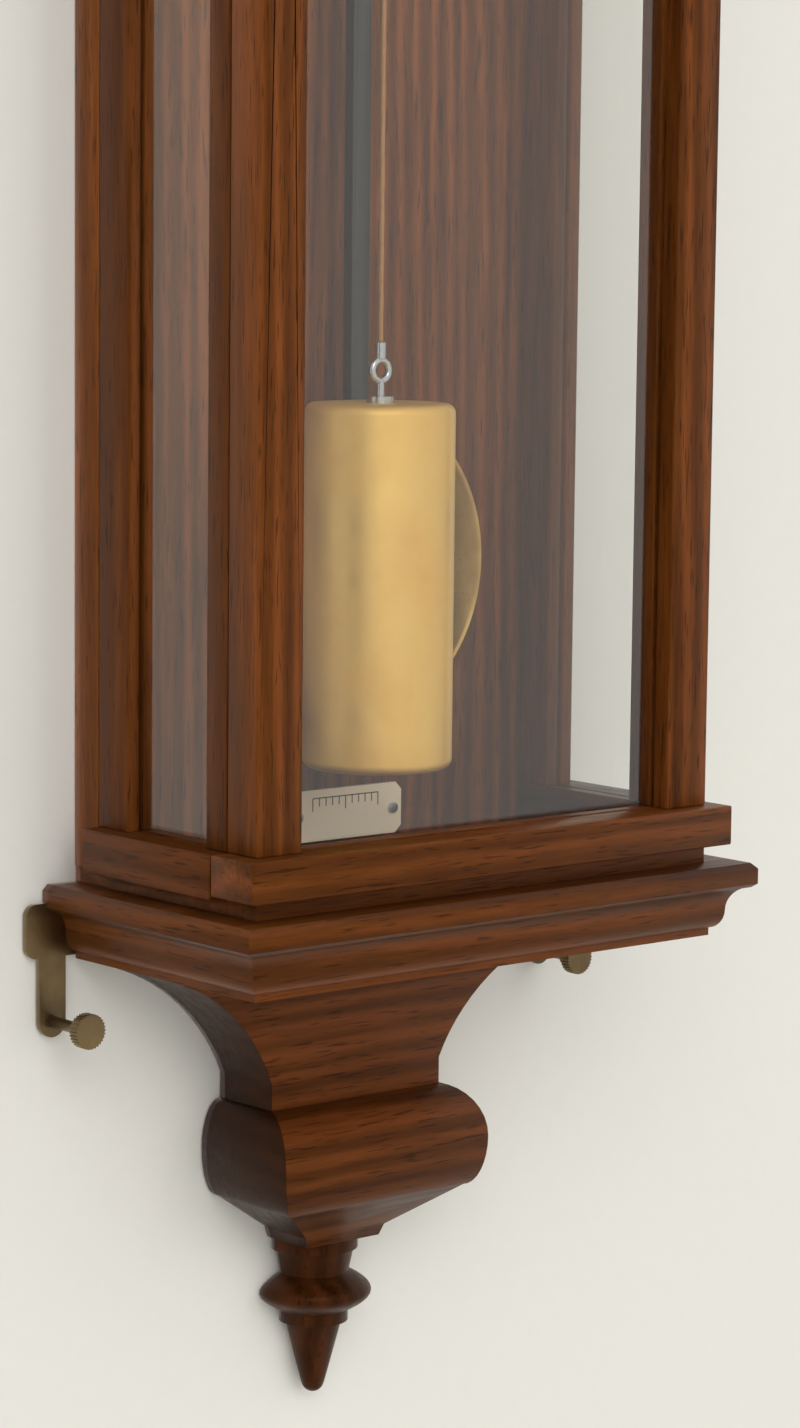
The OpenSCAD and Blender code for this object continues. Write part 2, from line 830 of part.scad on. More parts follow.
// Door
module door_pane(grow = 0) {
    slab(-half_w + door_stile - glass_bite - grow, half_w - door_stile + glass_bite + grow,
        pane_d - glass_t / 2 - grow, pane_d + glass_t / 2 + grow,
        door_rail_top - glass_bite - grow, door_head_low + glass_bite + grow);
}

module door_left_stile() {
    color(walnut)
        difference() {
            slab(-half_w, -half_w + door_stile, door_back, door_front, door_rail_top, door_head_low);
            door_pane(glass_gap);
            turned(spindle_r + run_gap, door_back - cut, door_front + cut, lock_x, lock_h);
        }
}

module door_right_stile() {
    color(walnut)
        difference() {
            slab(half_w - door_stile, half_w, door_back, door_front, door_rail_top, door_head_low);
            door_pane(glass_gap);
        }
}

module door_top_rail() {
    color(walnut)
        difference() {
            slab(-half_w, half_w, door_back, door_front, door_head_low, door_high);
            door_pane(glass_gap);
        }
}

module door_bottom_rail() {
    reach = half_w + plinth_out;
    color(walnut_dark)
        difference() {
            slab(-reach, reach, door_back, door_front + plinth_out, door_low, door_rail_top);
            door_pane(glass_gap);
        }
}

module door_glass() {
    color(glass_colour, 0.3)
        door_pane();
}

module lock_escutcheon() {
    color(brass_colour)
        flat(door_front, door_front + 0.8, lock_x, lock_h)
            difference() {
                union() {
                    circle(r = 4.6);
                    translate([-2.6, -9])
                        square([5.2, 18]);
                    translate([0, 9])
                        circle(r = 2.6);
                    translate([0, -9])
                        circle(r = 2.6);
                }
                circle(r = spindle_r + run_gap);
            }
}

module door_key() {
    bow_r = 6;
    color(brass_colour) {
        turned(spindle_r, tongue_d, door_front + 8, lock_x, lock_h);
        turned(spindle_r + 0.9, door_front + 4.5, door_front + 6, lock_x, lock_h);
        translate([lock_x - 0.9, -(door_front + 7 + bow_r), lock_h - eye_h])
            rotate([90, 0, 90])
                linear_extrude(1.8)
                    difference() {
                        circle(r = bow_r);
                        circle(r = bow_r - 2.2);
                    }
    }
}

module lock_tongue() {
    color(steel_colour)
        slab(lock_x - tongue_w / 2, lock_x + tongue_w / 2, tongue_d - tongue_t, tongue_d,
            lock_h - tongue_l / 2, lock_h + tongue_l / 2);
}

// Movement frame
module movement_bracket() {
    arm_low = bracket_z - 6;
    color(steel_colour)
        difference() {
            union() {
                slab(-bracket_x - bracket_w / 2, bracket_x + bracket_w / 2, back_t, back_t + iron_t,
                    arm_low, bracket_z + iron_h);
                both()
                    slab(bracket_x - bracket_w / 2, bracket_x + bracket_w / 2, back_t, plate_back,
                        arm_low, arm_low + 6);
            }
            both()
                screw_hole(bracket_x, bracket_z + iron_h - 4, back_t - cut, back_t + iron_t + cut);
            both()
                screw_hole(bracket_x, arm_low + 3, plate_back - screw_l, plate_back + cut);
        }
}

module plate_shape() {
    low = dial_h - plate_down;
    high = dial_h + plate_up;
    corner = 6;
    polygon([[-plate_w / 2, low + corner], [-plate_w / 2 + corner, low], [plate_w / 2 - corner, low],
        [plate_w / 2, low + corner], [plate_w / 2, high - 14], [plate_w / 2 - 14, high],
        [-plate_w / 2 + 14, high], [-plate_w / 2, high - 14]]);
}

function pillar_places() = [
    [-pillar_x, dial_h - plate_down + 5 + 6], [pillar_x, dial_h - plate_down + 5 + 6],
    [-pillar_x, dial_h + plate_up - 19], [pillar_x, dial_h + plate_up - 19]];

module pivot_holes(d0, d1) {
    for (p = [[0, 0], [third_x, third_z], [0, escape_h], [0, escape_h + pallet_c]])
        turned(arbor_r + run_gap, d0, d1, p[0], dial_h + p[1]);
    turned(2 + run_gap, d0, d1, 0, barrel_z);
}

module back_plate() {
    color(brass_colour)
        difference() {
            flat(plate_back, plate_in)
                plate_shape();
            pivot_holes(plate_back - cut, plate_in + cut);
            both()
                screw_hole(bracket_x, bracket_z - 3, plate_back - cut, plate_in + cut);
            for (p = pillar_places())
                turned(1.2, plate_back - cut, plate_in + cut, p[0], p[1]);
        }
}

module front_plate() {
    color(brass_colour)
        difference() {
            flat(plate_out, plate_front)
                plate_shape();
            pivot_holes(plate_out - cut, plate_front + cut);
            for (p = pillar_places())
                turned(1.2, plate_out - cut, plate_front + cut, p[0], p[1]);
            turned(arbor_r + run_gap, plate_out - cut, plate_front + cut, -minute_c, dial_h);
        }
}

module pillars() {
    color(brass_colour)
        for (p = pillar_places()) {
            turned(pillar_r, plate_in, plate_out, p[0], p[1]);
            turned(1.2, plate_back - 0.6, plate_front + 0.6, p[0], p[1]);
        }
}

module movement_screws() {
    color(blued_steel)
        both()
            screw(bracket_x, bracket_z - 3, plate_in, screw_l);
}

module suspension_cock() {
    color(brass_colour)
        difference() {
            union() {
                slab(-5, 5, pend_d - 4, plate_back, susp_h + 3.5, susp_h + 9);
                slab(-5, 5, pend_d - 4, pend_d + 3.4, susp_h + 0.2, susp_h + 4);
            }
            turned(0.9, pend_d - 4 - cut, pend_d + 3.4 + cut, 0, susp_h + 2);
        }
    color(steel_colour)
        turned(0.9, pend_d - 5, pend_d + 4, 0, susp_h + 2);
}

// Dial and hands
winding_r = 3;
hour_pipe_in = 2.1;
hour_pipe_out = 2.9;
cannon_out = 2;
minute_c = motion_mod * (cannon_n + minute_n) / 2;
hour_mod = 2 * minute_c / (hour_leaves + hour_n);
motion_d = plate_front + 0.4;
hour_hand_d = dial_front + 1.6;
minute_hand_d = hour_hand_d + hand_t + 0.9;

module dial() {
    color(enamel)
        difference() {
            flat(dial_back, dial_front, 0, dial_h)
                difference() {
                    circle(r = dial_r, $fn = 128);
                    circle(r = hour_pipe_out + 0.5);
                    translate([0, -great_c])
                        circle(r = winding_r);
                }
        }
    color(brass_colour)
        for (a = [45, 135, 225, 315])
            turned(1, plate_front, dial_back, dial_foot_c * cos(a), dial_h + dial_foot_c * sin(a));
}

module bezel() {
    color(brass_colour)
        translate([0, -dial_back, dial_h - eye_h])
            rotate([90, 0, 0])
                rotate_extrude($fn = 128)
                    polygon(concat(
                        [[dial_r + fit, 0], [dial_r + bezel_w - 1, 0], [dial_r + bezel_w, 1]],
                        [for (i = [0 : 8]) [dial_r + bezel_w - (bezel_w + 1.5) * i / 8,
                            dial_t + 1 + 2.6 * sin(180 * i / 8)]],
                        [[dial_r - 1.5, dial_t], [dial_r + fit, dial_t]]));
}

module hand_outline(length, ring_r, wide) {
    difference() {
        union() {
            circle(r = 4);
            polygon([[-wide * 0.8, 0], [wide * 0.8, 0],
                [wide * 0.45, length * 0.66], [-wide * 0.45, length * 0.66]]);
            translate([0, length * 0.7])
                circle(r = ring_r);
            polygon([[-wide * 0.6, length * 0.7 + ring_r * 0.8], [wide * 0.6, length * 0.7 + ring_r * 0.8],
                [wide * 0.15, length], [-wide * 0.15, length]]);
        }
        translate([0, length * 0.7])
            circle(r = ring_r * 0.55);
    }
}

module minute_hand() {
    color(blued_steel) {
        flat(minute_hand_d, minute_hand_d + hand_t, 0, dial_h)
            difference() {
                rotate(-60)
                    hand_outline(minute_len, 3, 1.5);
                circle(r = arbor_r + run_gap);
            }
    }
    color(brass_colour)
        difference() {
            union() {
                turned(cannon_out, motion_d, minute_hand_d, 0, dial_h);
                flat(motion_d, motion_d + 1.4, 0, dial_h)
                    pinion(cannon_n, motion_mod, 180);
                turned(2.4, minute_hand_d + hand_t, minute_hand_d + hand_t + 1.2, 0, dial_h);
            }
            turned(arbor_r + run_gap, motion_d - cut, minute_hand_d + hand_t + 2, 0, dial_h);
        }
}

module hour_hand() {
    color(blued_steel)
        flat(hour_hand_d, hour_hand_d + hand_t, 0, dial_h)
            difference() {
                rotate(-305)
                    hand_outline(hour_len, 3.4, 1.8);
                circle(r = hour_pipe_in);
            }
    color(brass_colour)
        difference() {
            union() {
                turned(hour_pipe_out, motion_d + 2, hour_hand_d, 0, dial_h);
                flat(motion_d + 2, motion_d + 3.4, 0, dial_h)
                    gear(hour_n, hour_mod, 180, 0.6, 1.1);
            }
            turned(hour_pipe_in, motion_d + 1, hour_hand_d + cut, 0, dial_h);
        }
}

module minute_wheel() {
    color(brass_colour) {
        turned(arbor_r, plate_out, motion_d + 3.5, -minute_c, dial_h);
        flat(motion_d, motion_d + 1.4, -minute_c, dial_h)
            gear(minute_n, motion_mod, 180 / minute_n);
        flat(motion_d + 1.4, motion_d + 3.4, -minute_c, dial_h)
            pinion(hour_leaves, hour_mod, 180 / hour_leaves);
    }
}

// Wheel train. The great wheel meshes low, the centre wheel meshes to the upper right.
great_d = plate_in + 1;
ratchet_d = great_d + 2;
drum_back = ratchet_d + 2;
drum_front = plate_out - 4;
centre_d = plate_out - 2.6;
third_d = plate_in + 8;
escape_d = plate_in + 3.4;
wheel_t = 1.2;
to_third = bearing(0, 0, third_x, third_z);
to_escape = bearing(third_x, third_z, 0, escape_h);
ratchet_n = 24;
ratchet_r = 8.5;
click_reach = 13.5;
click_at = 160;
click_x = click_reach * cos(click_at);
click_z = click_reach * sin(click_at);

module barrel() {
    color(brass_colour) {
        turned(drum_r, drum_back, drum_front, 0, barrel_z);
        turned(drum_r + 2, drum_back, drum_back + 1.2, 0, barrel_z);
        turned(drum_r + 2, drum_front - 1.2, drum_front, 0, barrel_z);
        flat(ratchet_d, drum_back, 0, barrel_z)
            ratchet_shape();
    }
    color(steel_colour) {
        turned(2, plate_back, drum_back + 1, 0, barrel_z);
        turned(2, drum_front - 1, plate_front + 0.5, 0, barrel_z);
        flat(plate_front + 0.5, dial_front - 0.3, 0, barrel_z)
            square([2.8, 2.8], center = true);
    }
}

module ratchet_shape() {
    step = 360 / ratchet_n;
    polygon([for (i = [0 : ratchet_n - 1]) each [
        [(ratchet_r - 1) * cos(i * step), (ratchet_r - 1) * sin(i * step)],
        [ratchet_r * cos(i * step + 1), ratchet_r * sin(i * step + 1)]]]);
}

module great_wheel() {
    color(brass_colour)
        difference() {
            union() {
                flat(great_d, great_d + wheel_t, 0, barrel_z)
                    difference() {
                        gear(great_n, wheel_mod, 90);
                        windows(great_n * wheel_mod / 2 - 3, click_reach + 3.4, 5, 3);
                    }
                turned(4, great_d + wheel_t - 0.01, ratchet_d - 0.1, 0, barrel_z);
                turned(1, great_d, great_d + 3.4, click_x, barrel_z + click_z);
            }
            turned(2 + run_gap, great_d - cut, ratchet_d + cut, 0, barrel_z);
        }
}

module click() {
    tx = (ratchet_r + 0.4) * cos(click_at - 38) - click_x;
    tz = (ratchet_r + 0.4) * sin(click_at - 38) - click_z;
    reach = norm([tx, tz]);
    color(steel_colour)
        difference() {
            flat(ratchet_d + 0.2, ratchet_d + 1.4, click_x, barrel_z + click_z)
                union() {
                    circle(r = 2.2);
                    rotate(atan2(tz, tx))
                        polygon([[0, -2], [reach * 0.5, -1.2], [reach, 0.05], [reach, 1.2], [0, 2.1]]);
                }
            turned(1 + run_gap, ratchet_d - cut, ratchet_d + 3, click_x, barrel_z + click_z);
        }
}

module centre_wheel() {
    color(brass_colour)
        flat(centre_d, centre_d + wheel_t, 0, dial_h)
            difference() {
                gear(centre_n, wheel_mod, to_third);
                windows(centre_n * wheel_mod / 2 - 3, 5, 5, 2.4);
            }
    color(steel_colour) {
        turned(arbor_r, plate_back, minute_hand_d + hand_t + 1.6, 0, dial_h);
        flat(great_d - 0.4, great_d + wheel_t + 0.4, 0, dial_h)
            pinion(leaves, wheel_mod, 270 + 180 / leaves);
    }
}

module third_wheel() {
    color(brass_colour)
        flat(third_d, third_d + wheel_t, third_x, dial_h + third_z)
            difference() {
                gear(third_n, third_mod, to_escape);
                windows(third_n * third_mod / 2 - 2.4, 3.6, 5, 1.8);
            }
    color(steel_colour) {
        turned(arbor_r * 0.8, plate_in, plate_out, third_x, dial_h + third_z);
        turned(arbor_r, plate_back + 0.3, plate_in + 2, third_x, dial_h + third_z);
        turned(arbor_r, plate_out - 1, plate_front - 0.3, third_x, dial_h + third_z);
        flat(centre_d - 0.4, centre_d + wheel_t + 0.4, third_x, dial_h + third_z)
            pinion(leaves, wheel_mod, to_third + 180 + 180 / leaves);
    }
}

module escape_wheel() {
    step = 360 / escape_n;
    color(brass_colour)
        flat(escape_d, escape_d + wheel_t, 0, dial_h + escape_h)
            difference() {
                polygon([for (i = [0 : escape_n - 1]) each [
                    [(escape_r - 1.8) * cos(i * step + 90), (escape_r - 1.8) * sin(i * step + 90)],
                    [escape_r * cos(i * step + 92), escape_r * sin(i * step + 92)],
                    [escape_r * cos(i * step + 93), escape_r * sin(i * step + 93)],
                    [(escape_r - 1.8) * cos(i * step + 95), (escape_r - 1.8) * sin(i * step + 95)]]]);
                windows(escape_r - 3.2, 3, 5, 1.5);
            }
    color(steel_colour) {
        turned(arbor_r * 0.7, plate_in, plate_out, 0, dial_h + escape_h);
        turned(arbor_r, plate_back + 0.3, plate_in + 2, 0, dial_h + escape_h);
        turned(arbor_r, plate_out - 1, plate_front - 0.3, 0, dial_h + escape_h);
        flat(third_d - 0.4, third_d + wheel_t + 0.4, 0, dial_h + escape_h)
            pinion(leaves, third_mod, to_escape + 180 + 180 / leaves);
    }
}

// The pallets stop clear of the escape wheel by this much at rest
pallet_gap = 1;

module anchor() {
    r = pallet_c * 0.707;
    color(steel_colour) {
        turned(arbor_r, plate_back - 3.6, plate_front - 0.3, 0, susp_h);
        flat(escape_d - 0.6, escape_d + wheel_t + 0.6, 0, susp_h)
            difference() {
                union() {
                    circle(r = 2.6);
                    difference() {
                        circle(r = r + 1.1);
                        circle(r = r - 1.1);
                        translate([-2 * r, -2 * r])
                            square([4 * r, 2 * r - 2.4]);
                        translate([-2 * r, 1.2])
                            square([4 * r, 2 * r]);
                    }
                    for (s = [-1, 1])
                        intersection() {
                            difference() {
                                circle(r = r + 1.1);
                                circle(r = r - 1.1);
                            }
                            polygon([[0, 0], [s * 3 * r, -0.9 * r], [s * 3 * r, 0]]);
                        }
                    translate([-r, -1.1])
                        square([2 * r, 2.2]);
                }
                translate([0, -pallet_c])
                    circle(r = escape_r + pallet_gap);
            }
    }
}

module crutch() {
    low = susp_h - crutch_l;
    color(steel_colour)
        difference() {
            union() {
                turned(3, plate_back - 3, plate_back - 1.4, 0, susp_h);
                slab(-1.1, 1.1, plate_back - 3, plate_back - 1.4, low, susp_h);
                turned(1.1, pend_d - rod_t / 2 - 1, plate_back - 1.4, 0, low);
            }
            turned(arbor_r, plate_back - 4, plate_back, 0, susp_h);
        }
}

// Pendulum
module suspension_spring() {
    color(steel_colour)
        slab(-0.1, 0.1, pend_d - 2.5, pend_d + 2.5, susp_h - 14, susp_h);
    color(brass_colour)
        slab(-2.8, 2.8, pend_d - 3, pend_d + 3, susp_h - 19.5, susp_h - 14);
}

module pendulum_rod() {
    color(walnut_dark)
        difference() {
            slab(-rod_w / 2, rod_w / 2, pend_d - rod_t / 2, pend_d + rod_t / 2, rod_low, rod_top);
            turned(1.1 + fit, pend_d - rod_t, pend_d + rod_t, 0, susp_h - crutch_l);
        }
}

module rod_fittings() {
    color(brass_colour) {
        slab(-rod_w / 2 - 0.8, rod_w / 2 + 0.8, pend_d - rod_t / 2 - 0.8, pend_d + rod_t / 2 + 0.8,
            rod_top, susp_h - 19.5);
        both()
            slab(rod_w / 2, rod_w / 2 + 0.8, pend_d - rod_t / 2 - 0.8, pend_d + rod_t / 2 + 0.8,
                rod_top - 12, rod_top);
    }
    color(steel_colour) {
        upright(thread_r, thread_low, rod_low, 0, pend_d);
        translate([0, -pend_d, thread_low - 3 - eye_h])
            cylinder(r1 = 0.2, r2 = thread_r, h = 3);
    }
}

module bob() {
    steps = 14;
    color(brass_colour)
        difference() {
            translate([0, -pend_d, bob_h - eye_h])
                rotate([90, 0, 0])
                    rotate_extrude($fn = 128)
                        polygon(concat(
                            [for (i = [0 : steps]) [bob_r * i / steps,
                                bob_rim / 2 + (bob_t - bob_rim) / 2 * (1 - pow(i / steps, 2))]],
                            [for (i = [steps : -1 : 0]) [bob_r * i / steps,
                                -bob_rim / 2 - (bob_t - bob_rim) / 2 * (1 - pow(i / steps, 2))]]));
            slab(-rod_w / 2 - fit, rod_w / 2 + fit, pend_d - rod_t / 2 - fit, pend_d + rod_t / 2 + fit,
                bob_h - 2 * bob_r, bob_h + 2 * bob_r);
        }
}

module rating_nut() {
    color(brass_colour)
        translate([0, -pend_d, nut_top - nut_h - eye_h])
            difference() {
                union() {
                    linear_extrude(nut_h - 1)
                        gear(24, 2 * nut_r / 25, 0, 0.5, 0.4, 0.4, 0.6);
                    cylinder(r = nut_r * 0.7, h = nut_h);
                }
                translate([0, 0, -cut])
                    cylinder(r = thread_r + run_gap, h = nut_h + 2 * cut);
            }
}

// Driving weight, its hook and its line
module weight() {
    edge = 2.5;
    color(brass_colour)
        difference() {
            translate([line_x, -weight_d, weight_low - eye_h])
                rotate_extrude($fn = 96)
                    polygon(concat([[0, 0], [weight_r - edge, 0]],
                        [for (i = [1 : 6]) [weight_r - edge + edge * sin(15 * i), edge - edge * cos(15 * i)]],
                        [for (i = [0 : 6]) [weight_r - edge + edge * cos(15 * i),
                            weight_h - edge + edge * sin(15 * i)]],
                        [[0, weight_h]]));
            upright(1.5, weight_low + weight_h - 8, weight_low + weight_h + cut, line_x, weight_d);
        }
}

module weight_hook() {
    top = weight_low + weight_h;
    eye = 2.6;
    color(steel_colour) {
        upright(1.5, top - 8, top + 1, line_x, weight_d);
        upright(3.4, top, top + 1.6, line_x, weight_d);
        upright(1, top + 1, top + 5.6, line_x, weight_d);
        translate([line_x, -weight_d, top + 5.4 + eye - eye_h])
            rotate([90, 0, 0])
                rotate_extrude()
                    translate([eye, 0])
                        circle(r = 0.9, $fn = 20);
    }
    color(brass_colour)
        upright(line_r + 0.7, top + 5.4 + 2 * eye + 0.4, line_low, line_x, weight_d);
}

module gut_line() {
    color(gut_colour)
        upright(line_r, line_low, barrel_z, line_x, weight_d);
}

backboard();
left_stiles();
left_rails();
left_glass();
right_stiles();
right_rails();
right_glass();
case_roof();
case_floor();
cornice();
crest();
finials();
base_moulding();
corbel();
drop_finial();
beat_block();
beat_plate();
hanger_plate();
case_screws();
levelling_brackets();
movement_bracket();
back_plate();
front_plate();
pillars();
movement_screws();
suspension_cock();
dial();
bezel();
strike_plate();
case_hinges();
door_left_stile();
door_right_stile();
door_top_rail();
door_bottom_rail();
door_glass();
door_hinges();
lock_escutcheon();
door_key();
lock_tongue();
levelling_screw_left();
levelling_screw_right();
suspension_spring();
pendulum_rod();
rod_fittings();
bob();
rating_nut();
anchor();
crutch();
barrel();
great_wheel();
click();
centre_wheel();
third_wheel();
escape_wheel();
minute_hand();
hour_hand();
minute_wheel();
weight();
weight_hook();
gut_line();
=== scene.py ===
"""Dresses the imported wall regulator: polished walnut case, glass, enamel dial, brass works and weight."""
import math

import bmesh
import bpy
from bpy.props import FloatProperty, FloatVectorProperty, IntProperty, PointerProperty
from bpy.types import Operator, Panel, PropertyGroup
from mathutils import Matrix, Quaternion, Vector


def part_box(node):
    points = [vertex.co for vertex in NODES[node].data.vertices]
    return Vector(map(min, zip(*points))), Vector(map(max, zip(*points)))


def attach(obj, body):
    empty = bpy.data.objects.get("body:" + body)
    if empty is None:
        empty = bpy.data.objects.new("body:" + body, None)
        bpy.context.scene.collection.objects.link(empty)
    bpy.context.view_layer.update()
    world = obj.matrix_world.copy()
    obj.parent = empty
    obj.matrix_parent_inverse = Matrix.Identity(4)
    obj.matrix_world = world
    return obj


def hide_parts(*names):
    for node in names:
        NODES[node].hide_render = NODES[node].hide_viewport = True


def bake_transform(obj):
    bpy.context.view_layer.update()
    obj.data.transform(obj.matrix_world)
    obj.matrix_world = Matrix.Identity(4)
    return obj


bl_info = {
    "name": "Wall Regulator",
    "version": (1, 0, 0),
    "blender": (4, 5, 0),
    "location": "3D View > Sidebar > Regulator",
    "description": "Finishes and fine detail of a miniature weight-driven wall regulator",
    "category": "Object",
}

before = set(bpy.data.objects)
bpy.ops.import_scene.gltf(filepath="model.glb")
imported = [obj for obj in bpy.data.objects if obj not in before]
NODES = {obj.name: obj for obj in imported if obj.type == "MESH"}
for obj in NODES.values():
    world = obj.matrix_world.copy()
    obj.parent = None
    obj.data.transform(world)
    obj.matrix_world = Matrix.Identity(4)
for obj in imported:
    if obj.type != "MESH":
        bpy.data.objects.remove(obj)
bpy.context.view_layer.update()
MM = 0.001
DIAL_LOW, DIAL_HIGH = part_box("dial")
DIAL_CENTRE = (DIAL_LOW + DIAL_HIGH) / 2
DIAL_RADIUS = (DIAL_HIGH.x - DIAL_LOW.x) / 2


def linear(code):
    """The linear red, green and blue of an sRGB hex colour."""
    parts = [int(code[i:i + 2], 16) / 255 for i in (1, 3, 5)]
    return tuple(p / 12.92 if p <= 0.04045 else ((p + 0.055) / 1.055) ** 2.4 for p in parts)


def colour(name, code, description):
    """A colour setting, from a hex colour."""
    return FloatVectorProperty(
        name=name, description=description, subtype="COLOR", min=0, max=1, default=linear(code))


def length(name, millimetres, description):
    """A length setting, from millimetres."""
    return FloatProperty(
        name=name, description=description, subtype="DISTANCE", unit="LENGTH", min=0,
        default=millimetres * MM)


def share(name, value, description):
    """A setting between none and all."""
    return FloatProperty(name=name, description=description, subtype="FACTOR", min=0, max=1, default=value)


def degrees(name, value, description):
    """An angle setting, from degrees."""
    return FloatProperty(name=name, description=description, subtype="ANGLE", default=math.radians(value))


class WalnutSettings(PropertyGroup):
    light: colour("Light wood", "#7C4420", "Early wood, the pale bands of the figure")
    middle: colour("Middle wood", "#59300F", "The main colour of the polished walnut")
    dark: colour("Dark wood", "#3C1C0B", "Late wood, the dark lines of the figure")
    pore: colour("Pores", "#1A0C05", "Open pores filled with dark polish")
    ebony: colour("Ebonised wood", "#1C1512", "Stained black wood of the pendulum rod")
    ring_gap: length("Ring gap", 6.5, "Distance between two growth rings across the board")
    pore_width: length("Pore width", 0.4, "Width of one pore, twice the real 0.2 mm so that it shows")
    polish: share("Polish", 0.06, "Strength of the clear shellac over the wood")
    amber: colour("Amber shellac", "#B06A3C", "Tint that old shellac gives the shine")


class MetalSettings(PropertyGroup):
    brass: colour("Brass", "#EFC571", "Clean lacquered brass")
    old_brass: colour("Toned brass", "#A87B3A", "Brass that has gone brown under its lacquer")
    bronzed: colour("Bronzed brass", "#8F7853", "Bare brass darkened by handling")
    tarnish: colour("Tarnish", "#3D3327", "The darkest brown of bare brass")
    steel: colour("Steel", "#B9BCC0", "Filed and polished steel")
    blue: colour("Blued steel", "#1F2C63", "Heat-blued steel of the hands")
    iron: colour("Black iron", "#1B1A19", "Black-painted casting")
    gut: colour("Gut", "#A8793F", "Twisted gut line")


class DialSettings(PropertyGroup):
    enamel: colour("Enamel", "#F1EDE0", "White fired enamel of the dial")
    cream: colour("Cream enamel", "#FDEBCF", "Warmer enamel of the beat plate")
    ink: colour("Ink", "#14120F", "Black fired figures")
    figure_height: length("Figure height", 11.0, "Height of the hour figures")
    figure_circle: length("Figure circle", 38.0, "Radius of the circle through the middle of the figures")
    track_out: length("Minute track, outside", 49.5, "Outer radius of the minute track")
    track_in: length("Minute track, inside", 46.8, "Inner radius of the minute track")


class LineSettings(PropertyGroup):
    strands: IntProperty(name="Strands", description="Strands twisted into the line", min=1, default=3)
    lay: length("Lay", 5.0, "Length of line in which the strands turn through one radian")
    turns: FloatProperty(name="Turns left", min=0, default=2.2,
        description="Turns of line left on the barrel when the weight is down")
    lead: length("Lead", 1.5, "Distance from the falling line back to the first turn on the barrel")
    pitch: length("Pitch", 1.35, "Distance from one turn on the barrel to the next")


class StageSettings(PropertyGroup):
    wall: colour("Wall", "#E4E4E0", "Pale wall paint")
    floor: colour("Floor", "#DAD8D2", "Pale floor")
    azimuth: degrees("Camera azimuth", -40.4, "Angle of the view round the clock")
    elevation: degrees("Camera elevation", 7.0, "Angle of the view above level")
    roll: degrees("Camera roll", 0.6, "Tilt of the camera about its line of sight")
    distance: length("Camera distance", 1000, "Distance from the camera to the point it looks at")
    aim: FloatVectorProperty(name="Camera aim", description="The point the camera looks at",
        subtype="TRANSLATION", unit="LENGTH", default=(-0.0061, -0.045, -0.384))
    lens: FloatProperty(name="Lens", description="Focal length in millimetres", min=1, default=99.3)
    room: FloatProperty(name="Room light", min=0, default=1.06,
        description="Strength of the even light of the room")
    window: FloatProperty(name="Window light", min=0, default=18,
        description="Power of the window light in watts")


def feed(tree, node, values):
    """Fills inputs of a node; each value is either a plain one or the output that feeds the input."""
    for key, value in values.items():
        if isinstance(value, bpy.types.NodeSocket):
            tree.links.new(value, node.inputs[key])
        else:
            node.inputs[key].default_value = value


def add(tree, kind, settings=None, inputs=None):
    """Adds one node with its settings and inputs."""
    node = tree.nodes.new(kind)
    for name, value in (settings or {}).items():
        if name == "stops":
            ramp = node.color_ramp
            while len(ramp.elements) < len(value):
                ramp.elements.new(0.5)
            for element, (place, tint) in zip(ramp.elements, value):
                element.position, element.color = place, tuple(tint) + (1,)
        else:
            setattr(node, name, value)
    feed(tree, node, inputs or {})
    return node


def blank(name):
    """A new node material with nothing in it but its Principled shader and output."""
    material = bpy.data.materials.new(name)
    material.use_nodes = True
    tree = material.node_tree
    tree.nodes.clear()
    shader = add(tree, "ShaderNodeBsdfPrincipled")
    add(tree, "ShaderNodeOutputMaterial", inputs={"Surface": shader.outputs[0]})
    return material, tree, shader


def blend_surface(tree, amount, under, over):
    """Mixes one shader over another, gives the result to the output and returns it."""
    mix = add(tree, "ShaderNodeMixShader", inputs={0: amount, 1: under.outputs[0], 2: over.outputs[0]})
    output = next(n for n in tree.nodes if n.type == "OUTPUT_MATERIAL")
    tree.links.new(mix.outputs[0], output.inputs["Surface"])
    return mix


NOISE_CELL = 1.6  # one cell of a noise texture is this many times as wide as the spot that shows
WAVE_BAND = math.tau / 20  # width of one band of a wave texture at scale 1
DRAWN_OUT = 0.07  # figure and pores are drawn out along the grain, to this share of their scale across it
STRETCH = {"X": (DRAWN_OUT, 1, 1), "Y": (1, DRAWN_OUT, 1), "Z": (1, 1, DRAWN_OUT)}
RINGS = {"X": "Z", "Y": "Z", "Z": "X"}  # grain direction to the direction in which rings follow each other


def across(millimetres):
    """Noise scale whose spots are about this wide."""
    return 1 / (millimetres * MM * NOISE_CELL)


def opaque(tint, depth=1.0):
    """A colour with full alpha, made darker or paler by a factor."""
    return tuple(c * depth for c in tint) + (1,)


